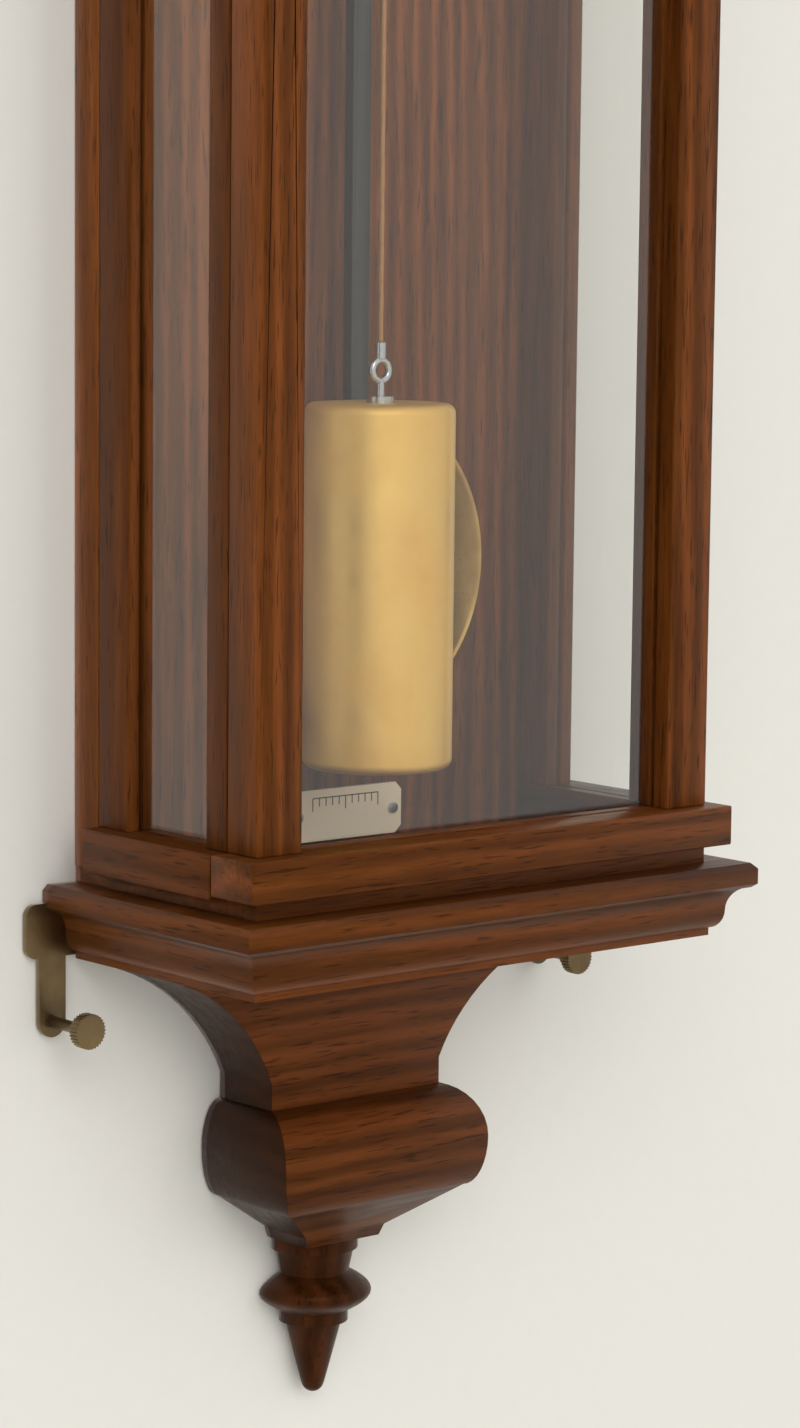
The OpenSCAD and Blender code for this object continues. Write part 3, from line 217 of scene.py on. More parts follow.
def walnut(name, grain, place, depth=1.0, wrap=False, shaded_sides=False):
    """French-polished walnut: dark rings drawn out along the grain, short dark pores, an amber shine."""
    wood = bpy.context.scene.regulator_walnut
    material, tree, shader = blank(name)
    at = add(tree, "ShaderNodeTexCoord").outputs["Object"]
    if wrap or shaded_sides:
        facing = add(tree, "ShaderNodeVectorMath", {"operation": "ABSOLUTE"},
            {0: add(tree, "ShaderNodeNewGeometry").outputs["True Normal"]})
        sides = add(tree, "ShaderNodeSeparateXYZ", inputs={0: facing.outputs[0]})
        is_side = add(tree, "ShaderNodeMath", {"operation": "GREATER_THAN"},
            {0: sides.outputs["X"], 1: sides.outputs["Y"]}).outputs[0]
    if wrap:  # a moulding is planted round the corner, so its side returns have their grain front to back
        split = add(tree, "ShaderNodeSeparateXYZ", inputs={0: at})
        swapped = add(tree, "ShaderNodeCombineXYZ", inputs={
            "X": split.outputs["Y"], "Y": split.outputs["X"], "Z": split.outputs["Z"]})
        at = add(tree, "ShaderNodeMix", {"data_type": "VECTOR"},
            {0: is_side, 4: at, 5: swapped.outputs[0]}).outputs[1]
    board = add(tree, "ShaderNodeMapping", inputs={
        "Vector": at, "Location": place, "Scale": STRETCH[grain]})
    rings = add(tree, "ShaderNodeTexWave", {"bands_direction": RINGS[grain]}, {
        "Vector": board.outputs[0], "Scale": WAVE_BAND / wood.ring_gap, "Distortion": 14.0,
        "Detail": 4.0, "Detail Scale": 0.4, "Detail Roughness": 0.6})
    fibre = add(tree, "ShaderNodeTexNoise", inputs={
        "Vector": board.outputs[0], "Scale": across(1.3), "Detail": 5.0, "Roughness": 0.65})
    cloud = add(tree, "ShaderNodeTexNoise", inputs={
        "Vector": board.outputs[0], "Scale": across(20), "Detail": 3.0})
    figure = add(tree, "ShaderNodeMix", inputs={0: 0.72, 2: rings.outputs["Fac"], 3: fibre.outputs["Fac"]})
    figure = add(tree, "ShaderNodeMix", inputs={0: 0.42, 2: figure.outputs[0], 3: cloud.outputs["Fac"]})
    tint = [tuple(c * depth for c in t) for t in (wood.dark, wood.middle, wood.light)]
    base = add(tree, "ShaderNodeValToRGB", {"stops": ((0.3, tint[0]), (0.48, tint[1]), (0.68, tint[2]))},
        {"Fac": figure.outputs[0]})
    grainwise = add(tree, "ShaderNodeTexNoise", inputs={
        "Vector": board.outputs[0], "Scale": across(wood.pore_width / MM), "Detail": 1.0})
    pores = add(tree, "ShaderNodeMapRange", inputs={
        "Value": grainwise.outputs["Fac"], "From Min": 0.6, "From Max": 0.7, "To Min": 0.0, "To Max": 0.6})
    mixed = add(tree, "ShaderNodeMix", {"data_type": "RGBA"}, {
        0: pores.outputs[0], 6: base.outputs["Color"], 7: opaque(wood.pore, depth)}).outputs[2]
    if shaded_sides:  # painted shade: the side faces of the block are darkened nearly to the pore colour
        side_shade = add(tree, "ShaderNodeMath", {"operation": "MULTIPLY"}, {0: is_side, 1: 0.82})
        mixed = add(tree, "ShaderNodeMix", {"data_type": "RGBA"},
            {0: side_shade.outputs[0], 6: mixed, 7: opaque(wood.pore, depth)}).outputs[2]
    rough = add(tree, "ShaderNodeMapRange", inputs={
        "Value": fibre.outputs["Fac"], "From Min": 0.3, "From Max": 0.7, "To Min": 0.34, "To Max": 0.52})
    bump = add(tree, "ShaderNodeBump", {"invert": True}, {
        "Strength": 0.3, "Distance": 0.12 * MM, "Height": pores.outputs[0]})
    feed(tree, shader, {
        "Base Color": mixed, "Roughness": rough.outputs[0], "Normal": bump.outputs[0], "IOR": 1.5,
        "Specular IOR Level": 0.3, "Specular Tint": opaque(wood.amber),
        "Coat Weight": wood.polish, "Coat Roughness": 0.12, "Coat IOR": 1.5})
    return material


def ebonised(name):
    """Stained and waxed fruitwood: near black, with a faint brown grain in the shine."""
    wood = bpy.context.scene.regulator_walnut
    material, tree, shader = blank(name)
    at = add(tree, "ShaderNodeTexCoord").outputs["Object"]
    board = add(tree, "ShaderNodeMapping", inputs={"Vector": at, "Scale": STRETCH["Z"]})
    fibre = add(tree, "ShaderNodeTexNoise", inputs={
        "Vector": board.outputs[0], "Scale": across(0.7), "Detail": 3.0})
    low, high = (tuple(c * depth for c in wood.ebony) for depth in (0.5, 1.8))
    base = add(tree, "ShaderNodeValToRGB", {"stops": ((0.3, low), (0.7, high))},
        {"Fac": fibre.outputs["Fac"]})
    bump = add(tree, "ShaderNodeBump", inputs={
        "Strength": 0.25, "Distance": 0.08 * MM, "Height": fibre.outputs["Fac"]})
    feed(tree, shader, {
        "Base Color": base.outputs["Color"], "Roughness": 0.38, "Normal": bump.outputs[0],
        "Coat Weight": 0.3, "Coat Roughness": 0.2})
    return material


def brass(name, marks, centre=(0, 0, 0), rough=0.24, toned=0.3, bare=False):
    """Lacquered brass: fine lathe rings or straight graining, and slow brown toning under the lacquer."""
    metal = bpy.context.scene.regulator_metal
    material, tree, shader = blank(name)
    at = add(tree, "ShaderNodeTexCoord").outputs["Object"]
    if marks == "turned":  # rings about an axis that runs front to back
        flat = add(tree, "ShaderNodeVectorMath", {"operation": "MULTIPLY_ADD"},
            {0: at, 1: (1, 0, 1), 2: (-centre[0], 0, -centre[2])})
        radius = add(tree, "ShaderNodeVectorMath", {"operation": "LENGTH"}, {0: flat.outputs[0]})
        lines = add(tree, "ShaderNodeCombineXYZ", inputs={"X": radius.outputs["Value"]}).outputs[0]
    elif marks == "lathe":  # rings about an upright axis
        lines = add(tree, "ShaderNodeMapping", inputs={"Vector": at, "Scale": (0.02, 0.02, 1)}).outputs[0]
    else:  # straight strokes of a fine stone, up and down
        lines = add(tree, "ShaderNodeMapping", inputs={"Vector": at, "Scale": (1, 1, 0.03)}).outputs[0]
    strokes = add(tree, "ShaderNodeTexNoise", inputs={
        "Vector": lines, "Scale": across(0.35), "Detail": 2.0})
    patches = add(tree, "ShaderNodeTexNoise", inputs={
        "Vector": at, "Scale": across(14), "Detail": 4.0, "Roughness": 0.6})
    amount = add(tree, "ShaderNodeMapRange", inputs={
        "Value": patches.outputs["Fac"], "From Min": 0.35, "From Max": 0.75,
        "To Min": toned * 0.5, "To Max": toned * 1.5})
    base = add(tree, "ShaderNodeMix", {"data_type": "RGBA"}, {
        0: amount.outputs[0], 6: opaque(metal.bronzed if bare else metal.brass),
        7: opaque(metal.tarnish if bare else metal.old_brass)})
    dull = add(tree, "ShaderNodeMapRange", inputs={
        "Value": patches.outputs["Fac"], "From Min": 0.3, "From Max": 0.7,
        "To Min": rough * 0.8, "To Max": rough * 1.35})
    bump = add(tree, "ShaderNodeBump", inputs={
        "Strength": 0.14, "Distance": 0.03 * MM, "Height": strokes.outputs["Fac"]})
    feed(tree, shader, {
        "Base Color": base.outputs[2], "Metallic": 1.0, "Roughness": dull.outputs[0],
        "Normal": bump.outputs[0], "Coat Weight": 0.25, "Coat Roughness": 0.1})
    return material


def steel(name, tint, rough=0.3, spread=0.18):
    """Filed steel, bright or heat-blued: cold metal with faint strokes, its colour drifting a little."""
    material, tree, shader = blank(name)
    at = add(tree, "ShaderNodeTexCoord").outputs["Object"]
    lines = add(tree, "ShaderNodeMapping", inputs={"Vector": at, "Scale": (1, 1, 0.06)})
    strokes = add(tree, "ShaderNodeTexNoise", inputs={
        "Vector": lines.outputs[0], "Scale": across(0.4), "Detail": 3.0})
    patches = add(tree, "ShaderNodeTexNoise", inputs={"Vector": at, "Scale": across(7), "Detail": 2.0})
    base = add(tree, "ShaderNodeMix", {"data_type": "RGBA"}, {0: patches.outputs["Fac"],
        6: opaque(tint, 1 - spread), 7: opaque(min(1, c * (1 + spread)) for c in tint)})
    bump = add(tree, "ShaderNodeBump", inputs={
        "Strength": 0.12, "Distance": 0.03 * MM, "Height": strokes.outputs["Fac"]})
    dull = add(tree, "ShaderNodeMapRange", inputs={
        "Value": strokes.outputs["Fac"], "To Min": rough * 0.8, "To Max": rough * 1.3})
    feed(tree, shader, {
        "Base Color": base.outputs[2], "Metallic": 1.0, "Roughness": dull.outputs[0],
        "Normal": bump.outputs[0]})
    return material


def black_iron(name):
    """Black-painted casting: sandy skin under a dull paint."""
    metal = bpy.context.scene.regulator_metal
    material, tree, shader = blank(name)
    at = add(tree, "ShaderNodeTexCoord").outputs["Object"]
    sand = add(tree, "ShaderNodeTexNoise", inputs={"Vector": at, "Scale": across(0.6), "Detail": 3.0})
    base = add(tree, "ShaderNodeMix", {"data_type": "RGBA"}, {0: sand.outputs["Fac"],
        6: opaque(metal.iron, 0.7), 7: opaque(metal.iron, 1.8)})
    bump = add(tree, "ShaderNodeBump", inputs={
        "Strength": 0.5, "Distance": 0.15 * MM, "Height": sand.outputs["Fac"]})
    feed(tree, shader, {"Base Color": base.outputs[2], "Roughness": 0.55, "Normal": bump.outputs[0]})
    return material


SPECK = "#8C8478"  # grey of the specks in fired enamel


def fired_enamel(name, tint):
    """Fired enamel on copper: milky, glassy, with a slow ripple and a few grey specks."""
    material, tree, shader = blank(name)
    at = add(tree, "ShaderNodeTexCoord").outputs["Object"]
    ripple = add(tree, "ShaderNodeTexNoise", inputs={"Vector": at, "Scale": across(9), "Detail": 1.0})
    specks = add(tree, "ShaderNodeTexNoise", inputs={"Vector": at, "Scale": across(0.5), "Detail": 0.0})
    spots = add(tree, "ShaderNodeMapRange", inputs={
        "Value": specks.outputs["Fac"], "From Min": 0.8, "From Max": 0.87, "To Min": 0.0, "To Max": 0.3})
    milk = add(tree, "ShaderNodeMix", {"data_type": "RGBA"}, {0: ripple.outputs["Fac"],
        6: opaque(tint), 7: opaque(tint, 0.93)})
    base = add(tree, "ShaderNodeMix", {"data_type": "RGBA"}, {0: spots.outputs[0], 6: milk.outputs[2],
        7: opaque(linear(SPECK))})
    bump = add(tree, "ShaderNodeBump", inputs={
        "Strength": 0.1, "Distance": 0.15 * MM, "Height": ripple.outputs["Fac"]})
    feed(tree, shader, {
        "Base Color": base.outputs[2], "Roughness": 0.22, "Normal": bump.outputs[0], "IOR": 1.5,
        "Coat Weight": 1.0, "Coat Roughness": 0.05})
    return material


def fired_ink(name):
    """Black fired paint on the enamel: slightly raised, with thin places."""
    dial = bpy.context.scene.regulator_dial
    material, tree, shader = blank(name)
    at = add(tree, "ShaderNodeTexCoord").outputs["Object"]
    thin = add(tree, "ShaderNodeTexNoise", inputs={"Vector": at, "Scale": across(0.8), "Detail": 2.0})
    base = add(tree, "ShaderNodeMix", {"data_type": "RGBA"}, {0: thin.outputs["Fac"],
        6: opaque(dial.ink, 0.6), 7: opaque(dial.ink, 2.2)})
    feed(tree, shader, {"Base Color": base.outputs[2], "Roughness": 0.35})
    return material


PANE = "#FCFDFC"  # tint of one pass through clear sheet glass


def drawn_glass(name):
    """Old drawn sheet glass: clear, with a slow waviness; lamps shine through it."""
    material, tree, shader = blank(name)
    at = add(tree, "ShaderNodeTexCoord").outputs["Object"]
    wave = add(tree, "ShaderNodeTexNoise", inputs={
        "Vector": add(tree, "ShaderNodeMapping", inputs={"Vector": at, "Scale": (1, 1, 0.3)}).outputs[0],
        "Scale": across(18), "Detail": 1.0})
    bump = add(tree, "ShaderNodeBump", inputs={
        "Strength": 0.08, "Distance": 0.3 * MM, "Height": wave.outputs["Fac"]})
    feed(tree, shader, {
        "Base Color": opaque(linear(PANE)), "Roughness": 0.0, "IOR": 1.5, "Transmission Weight": 1.0,
        "Normal": bump.outputs[0]})
    clear = add(tree, "ShaderNodeBsdfTransparent", inputs={"Color": opaque(linear(PANE))})
    # light on its way to or from the pieces passes the thin pane straight and leaves no grainy glints
    ray = add(tree, "ShaderNodeLightPath").outputs
    looked_at = blend_surface(tree, ray["Is Camera Ray"], clear, shader)
    blend_surface(tree, ray["Is Transmission Ray"], looked_at, shader)
    return material


def twisted_gut(name):
    """Twisted gut: translucent amber strands with a dull shine and darker grease between them."""
    metal = bpy.context.scene.regulator_metal
    material, tree, shader = blank(name)
    at = add(tree, "ShaderNodeTexCoord").outputs["Object"]
    spots = add(tree, "ShaderNodeTexNoise", inputs={"Vector": at, "Scale": across(1.2), "Detail": 3.0})
    base = add(tree, "ShaderNodeMix", {"data_type": "RGBA"}, {0: spots.outputs["Fac"],
        6: opaque(metal.gut, 0.6), 7: opaque(metal.gut)})
    feed(tree, shader, {"Base Color": base.outputs[2], "Roughness": 0.5, "Subsurface Weight": 0.1,
        "Subsurface Radius": (0.8 * MM, 0.5 * MM, 0.2 * MM)})
    return material


def crisp(angle):
    """A shared modifier group that shades curves smooth and keeps edges sharper than the angle crisp."""
    name = f"crisp_{round(math.degrees(angle))}"
    if name in bpy.data.node_groups:
        return bpy.data.node_groups[name]
    group = bpy.data.node_groups.new(name, "GeometryNodeTree")
    group.interface.new_socket("Geometry", in_out="INPUT", socket_type="NodeSocketGeometry")
    group.interface.new_socket("Geometry", in_out="OUTPUT", socket_type="NodeSocketGeometry")
    source = add(group, "NodeGroupInput")
    whole = add(group, "GeometryNodeSetShadeSmooth", {"domain": "FACE"},
        {"Geometry": source.outputs[0], "Shade Smooth": True})
    bend = add(group, "GeometryNodeInputMeshEdgeAngle")
    soft = add(group, "FunctionNodeCompare", {"data_type": "FLOAT", "operation": "LESS_THAN"},
        {"A": bend.outputs["Unsigned Angle"], "B": angle})
    edges = add(group, "GeometryNodeSetShadeSmooth", {"domain": "EDGE"},
        {"Geometry": whole.outputs[0], "Shade Smooth": soft.outputs[0]})
    add(group, "NodeGroupOutput", inputs={0: edges.outputs[0]})
    return group


WELD_GAP = 0.002 * MM  # corners closer than this are one
EASED_FROM = 35.0  # edges that bend by more degrees than this are eased
CRISP_PLAIN, CRISP_EASED = 32.0, 50.0  # edges that bend by more degrees stay crisp, without and with easing


def ease(thing, width=0.0):
    """Rounds a piece's edges by a width in millimetres, as wear does, and shades its curves smooth."""
    mesh = thing.data
    if "custom_normal" in mesh.attributes:
        mesh.attributes.remove(mesh.attributes["custom_normal"])
    weld = thing.modifiers.new("join", "WELD")
    weld.merge_threshold = WELD_GAP
    if width:
        bevel = thing.modifiers.new("ease", "BEVEL")
        bevel.width = width * MM
        bevel.segments = 2
        bevel.limit_method = "ANGLE"
        bevel.angle_limit = math.radians(EASED_FROM)
        bevel.use_clamp_overlap = True
    shade = thing.modifiers.new("shade", "NODES")
    shade.node_group = crisp(math.radians(CRISP_EASED if width else CRISP_PLAIN))


def dress(nodes, material, width=0.0):
    """Gives CAD nodes a material and eased edges; a width of None leaves their mesh plain."""
    for name in nodes:
        if name not in NODES:
            raise RuntimeError(f"no part named {name}")
        thing = NODES[name]
        for slot in range(len(thing.data.materials)):
            thing.data.materials[slot] = material
        if width is not None:
            ease(thing, width)


def new_piece(name, mesh, material, body=None):
    """Puts a new mesh in the scene, on the body that carries it unless it is blended between two."""
    thing = bpy.data.objects.new(name, mesh)
    bpy.context.scene.collection.objects.link(thing)
    mesh.materials.append(material)
    if body:
        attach(thing, body)
    return thing


INK_DEPTH = 0.04 * MM  # fired paint stands this far off the enamel


def flat_mesh(name, outlines, y, thickness):
    """A mesh of thin plates from outlines of (x, z) points; their back lies at y."""
    build = bmesh.new()
    for outline in outlines:
        area = sum(a[0] * b[1] - b[0] * a[1] for a, b in zip(outline, outline[1:] + outline[:1]))
        if area < 0:
            outline = outline[::-1]
        back = [build.verts.new((x, y, z)) for x, z in outline]
        front = [build.verts.new((x, y - thickness, z)) for x, z in outline]
        build.faces.new(front)
        build.faces.new(back[::-1])
        for i in range(len(back)):
            j = (i + 1) % len(back)
            build.faces.new((back[i], back[j], front[j], front[i]))
    mesh = bpy.data.meshes.new(name)
    bmesh.ops.recalc_face_normals(build, faces=build.faces)
    build.to_mesh(mesh)
    build.free()
    return mesh


def turned_outline(outline, angle, centre):
    """Turns an outline by an angle, clockwise as seen from the front, and moves it to a centre."""
    c, s = math.cos(angle), math.sin(angle)
    return [(centre[0] + x * c + z * s, centre[1] - x * s + z * c) for x, z in outline]


def bar(x0, z0, x1, z1, width):
    """A straight stroke from one point to another."""
    run = Vector((x1 - x0, z1 - z0)).normalized() * width / 2
    return [
        (x0 + run.y, z0 - run.x), (x1 + run.y, z1 - run.x),
        (x1 - run.y, z1 + run.x), (x0 - run.y, z0 + run.x)]


HOURS = ("XII", "I", "II", "III", "IIII", "V", "VI", "VII", "VIII", "IX", "X", "XI")
# all as shares of the figure's height
LETTERS = {"I": 0.30, "V": 0.78, "X": 0.78}
THICK_LIMB, THIN_LIMB, LETTER_GAP, SERIF_INSET = 0.17, 0.055, 0.06, 0.02
LONG_WORD = 0.86  # a word of four letters is drawn this much narrower
LEAN = 0.8  # the limbs of a V or X start this far out in its half width


def figure_outlines(word, height):
    """The strokes of one Roman figure, centred, with thick and thin limbs and fine serifs."""
    thick, thin = height * THICK_LIMB, height * THIN_LIMB
    wide = sum(LETTERS[c] for c in word) * height * (LONG_WORD if len(word) > 3 else 1)
    squeeze = wide / (sum(LETTERS[c] for c in word) * height)
    x, strokes = -wide / 2, []
    low, high = -height / 2, height / 2
    for c in word:
        w = LETTERS[c] * height * squeeze
        mid, half = x + w / 2, w / 2 - height * LETTER_GAP
        if c == "I":
            strokes.append(bar(mid, low, mid, high, thick))
        elif c == "V":
            strokes.append(bar(mid - half * LEAN, high, mid, low, thick))
            strokes.append(bar(mid + half * LEAN, high, mid, low, thin))
        else:
            strokes.append(bar(mid - half * LEAN, high, mid + half * LEAN, low, thick))
            strokes.append(bar(mid + half * LEAN, high, mid - half * LEAN, low, thin))
        x += w
    for z in (low + thin / 2, high - thin / 2):
        end = wide / 2 - height * SERIF_INSET
        strokes.append(bar(-end, z, end, z, thin))
    return strokes


def ring_outlines(inner, outer, centre, count=180):
    """A flat ring as short pieces."""
    pieces = []
    for i in range(count):
        a, b = math.tau * i / count, math.tau * (i + 1) / count
        pieces.append([(centre[0] + r * math.sin(t), centre[1] + r * math.cos(t))
            for r, t in ((inner, a), (outer, a), (outer, b), (inner, b))])
    return pieces


TUBE_SIDES = 18
STRAND_DEPTH = 0.16  # depth of the hollow between two strands, as a share of the radius


def twisted_tube(name, path, radius, strands, lay):
    """A closed tube along a path, with the lobes of strands that turn by a radian in each lay."""
    build, rings, run = bmesh.new(), [], 0.0
    for i, point in enumerate(path):
        ahead = (path[min(i + 1, len(path) - 1)] - path[max(i - 1, 0)]).normalized()
        side = ahead.cross(Vector((0, 1, 0)))
        side = side.normalized() if side.length > 0.1 else Vector((1, 0, 0))
        up = side.cross(ahead)
        if i:
            run += (point - path[i - 1]).length
        ring = []
        for k in range(TUBE_SIDES):
            turn = math.tau * k / TUBE_SIDES
            out = side * math.cos(turn) + up * math.sin(turn)
            lobe = 1 - STRAND_DEPTH * (1 - abs(math.cos(strands / 2 * (turn + run / lay))))
            ring.append(build.verts.new(point + out * radius * lobe))
        rings.append(ring)
    for a, b in zip(rings, rings[1:]):
        for k in range(TUBE_SIDES):
            after = (k + 1) % TUBE_SIDES
            build.faces.new((a[k], a[after], b[after], b[k]))
    build.faces.new(rings[0][::-1])
    build.faces.new(rings[-1])
    bmesh.ops.recalc_face_normals(build, faces=build.faces)
    mesh = bpy.data.meshes.new(name)
    build.to_mesh(mesh)
    build.free()
    for face in mesh.polygons:
        face.use_smooth = True
    return mesh


class REGULATOR_OT_case(Operator):
    """Veneers and polishes the boards and frames of the case"""
    bl_idname = "regulator.case"
    bl_label = "Case"

    def execute(self, context):
        # painted light: the backboard's walnut is made paler, standing in for the brightness the glass's
        # reflections give the inside of the case
        dress(["backboard"], walnut("walnut_backboard", "Z", (0.31, 0.02, 0.4), 1.4), 0.4)
        dress(["left_stiles"], walnut("walnut_left_stiles", "Z", (1.37, 0.5, 0.1), 0.92), 0.5)
        dress(["right_stiles"], walnut("walnut_right_stiles", "Z", (2.11, 0.7, 1.3)), 0.5)
        dress(["left_rails"], walnut("walnut_left_rails", "Y", (0.7, 2.3, 0.9), 0.6), 0.4)
        dress(["right_rails"], walnut("walnut_right_rails", "Y", (1.9, 1.1, 0.2), 0.6), 0.4)
        dress(["case_roof", "case_floor"], walnut("walnut_boards", "X", (3.1, 0.4, 0.6), 0.9), 0.4)
        return {"FINISHED"}


class REGULATOR_OT_mouldings(Operator):
    """Polishes the mouldings, the crest, the corbel and the turned finials"""
    bl_idname = "regulator.mouldings"
    bl_label = "Mouldings and finials"

    def execute(self, context):
        # painted shade: the base moulding's walnut is made darker than the case
        dress(["base_moulding"], walnut("walnut_base_moulding", "X", (0.9, 0.8, 1.7), 0.8, wrap=True), 0.35)
        dress(["cornice"], walnut("walnut_cornice", "X", (1.4, 0.3, 0.35), wrap=True), 0.35)
        dress(["crest"], walnut("walnut_crest", "X", (2.2, 1.9, 0.8)), 0.4)
        # painted shade: the corbel's walnut is made darker, and its side faces nearly black, where the base
        # above shades it
        dress(["corbel"], walnut("walnut_corbel", "X", (0.2, 1.2, 2.6), 0.76, shaded_sides=True), 0.4)
        dress(["beat_block"], walnut("walnut_beat_block", "X", (1.6, 2.4, 0.9), 0.7), 0.2)
        dress(["finials"], walnut("walnut_finials", "Z", (2.6, 0.9, 0.5), 0.55), 0.15)
        # the drop finial is made nearly black: partly dark wood, partly painted shade under the corbel
        dress(["drop_finial"], walnut("walnut_drop_finial", "Z", (0.4, 3.1, 0.7), 0.27), 0.15)
        return {"FINISHED"}


class REGULATOR_OT_door(Operator):
    """Polishes the door frame and fits its hinges, lock and key"""
    bl_idname = "regulator.door"
    bl_label = "Door"

    def execute(self, context):
        dress(["door_left_stile"], walnut("walnut_door_left", "Z", (0.15, 2.2, 0.3), 1.05), 0.5)
        dress(["door_right_stile"], walnut("walnut_door_right", "Z", (2.9, 1.6, 0.1), 1.0), 0.5)
        dress(["door_top_rail"], walnut("walnut_door_top", "X", (1.2, 0.6, 2.9)), 0.5)
        dress(["door_bottom_rail"], walnut("walnut_door_bottom", "X", (0.5, 1.5, 1.9), 0.9), 0.5)
        fittings = brass("brass_door_fittings", "straight", rough=0.28, toned=0.4)
        dress(["door_hinges", "case_hinges", "lock_escutcheon", "door_key", "strike_plate"], fittings, 0.12)
        dress(["lock_tongue"], steel("steel_lock_tongue", context.scene.regulator_metal.steel), 0.1)
        return {"FINISHED"}


class REGULATOR_OT_glass(Operator):
    """Glazes the door and both sides"""
    bl_idname = "regulator.glass"
    bl_label = "Glass"

    def execute(self, context):
        dress(["left_glass", "right_glass", "door_glass"], drawn_glass("drawn_sheet_glass"), None)
        return {"FINISHED"}


class REGULATOR_OT_dial(Operator):
    """Fires the dial, draws its figures and minute track, and finishes the bezel and hands"""
    bl_idname = "regulator.dial"
    bl_label = "Dial and hands"

    def execute(self, context):
        dial, metal = context.scene.regulator_dial, context.scene.regulator_metal
        dress(["dial"], fired_enamel("fired_enamel_dial", dial.enamel), 0.15)
        centre, face = (DIAL_CENTRE.x, DIAL_CENTRE.z), DIAL_LOW.y
        if dial.track_out > DIAL_RADIUS:
            raise RuntimeError("the minute track is wider than the dial")
        marks = []
        for hour, word in enumerate(HOURS):
            angle = math.tau * hour / 12
            for stroke in figure_outlines(word, dial.figure_height):
                lifted = [(x, z + dial.figure_circle) for x, z in stroke]
                marks.append(turned_outline(lifted, angle, centre))
        line, hour_tick, minute_tick = 0.22 * MM, 0.9 * MM, 0.28 * MM
        for radius in (dial.track_in, dial.track_out - line):
            marks += ring_outlines(radius, radius + line, centre)
        for minute in range(60):
            wide = hour_tick if minute % 5 == 0 else minute_tick
            tick = bar(0, dial.track_in + line, 0, dial.track_out - line, wide)
            marks.append(turned_outline(tick, math.tau * minute / 60, centre))
        mesh = flat_mesh("dial_figures", marks, face, INK_DEPTH)
        new_piece("dial_figures", mesh, fired_ink("fired_black_ink"), "case")
        dress(["bezel"], brass("brass_bezel", "turned", (centre[0], 0, centre[1]), 0.2, 0.25), 0.1)
        blued = steel("heat_blued_hands", metal.blue, 0.22, 0.35)
        dress(["hour_hand", "minute_hand"], blued, 0.06)
        return {"FINISHED"}


class REGULATOR_OT_works(Operator):
    """Finishes the plates, pillars, wheels, escapement and bracket of the movement"""
    bl_idname = "regulator.works"
    bl_label = "Movement"

    def execute(self, context):
        metal = context.scene.regulator_metal
        plates = brass("brass_plates", "straight", rough=0.3)
        dress(["back_plate", "front_plate", "suspension_cock"], plates, 0.12)
        dress(["pillars"], brass("brass_pillars", "straight", rough=0.22), 0.1)
        wheels = ("great_wheel", "centre_wheel", "third_wheel", "escape_wheel", "minute_wheel", "barrel")
        for node in wheels:
            low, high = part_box(node)
            dress([node], brass("brass_" + node, "turned", tuple((low + high) / 2), 0.24, 0.2), 0.0)
        dress(["anchor", "crutch", "click"], steel("polished_steel_escapement", metal.steel, 0.22), 0.06)
        dress(["movement_screws"], steel("blued_steel_screws", metal.blue, 0.25, 0.3), 0.1)
        dress(["movement_bracket"], black_iron("black_iron_bracket"), 0.4)
        return {"FINISHED"}


class REGULATOR_OT_pendulum(Operator):
    """Finishes the pendulum from its spring to its rating nut"""
    bl_idname = "regulator.pendulum"
    bl_label = "Pendulum"

    def execute(self, context):
        metal = context.scene.regulator_metal
        low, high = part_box("bob")
        # the heavy toning is partly old brass and partly painted shade, darkening the bob where it hangs
        # behind the weight
        dress(["bob"], brass("brass_bob", "turned", tuple((low + high) / 2), 0.26, 0.75), 0.1)
        dress(["rod_fittings", "rating_nut"], brass("brass_rod_fittings", "lathe", rough=0.26), 0.08)
        dress(["pendulum_rod"], ebonised("ebonised_rod"), 0.3)
        dress(["suspension_spring"], steel("spring_steel", metal.steel, 0.25), 0.0)
        return {"FINISHED"}


class REGULATOR_OT_weight(Operator):
    """Polishes the weight and twists its gut line"""
    bl_idname = "regulator.weight"
    bl_label = "Weight and line"
    fall_steps = 260
    turn_steps = 72

    def execute(self, context):
        metal, line = context.scene.regulator_metal, context.scene.regulator_line
        dress(["weight"], brass("polished_brass_weight", "lathe", rough=0.58, toned=0.06), 0.25)
        dress(["weight_hook"], steel("steel_weight_hook", metal.steel, 0.25), 0.0)
        gut = twisted_gut("twisted_gut")
        low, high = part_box("gut_line")
        middle, radius = (low + high) / 2, (high.x - low.x) / 2
        fall = [Vector((middle.x, middle.y, high.z + (low.z - high.z) * i / self.fall_steps))
            for i in range(self.fall_steps + 1)]
        mesh = twisted_tube("gut_fall", fall, radius, line.strands, line.lay)
        piece = new_piece("gut_fall", mesh, gut)
        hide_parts("gut_line")
        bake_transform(piece)
        axis = Vector((0, 0, high.z))
        coil = abs(middle.x)
        wound = []
        for i in range(round(line.turns * self.turn_steps) + 1):
            turn = math.tau * i / self.turn_steps
            back = line.lead + line.pitch * i / self.turn_steps
            wound.append(axis + Vector((-coil * math.cos(turn), middle.y + back, coil * math.sin(turn))))
        mesh = twisted_tube("wound_gut", wound, radius, line.strands, line.lay)
        new_piece("wound_gut", mesh, gut, "drum")
        return {"FINISHED"}


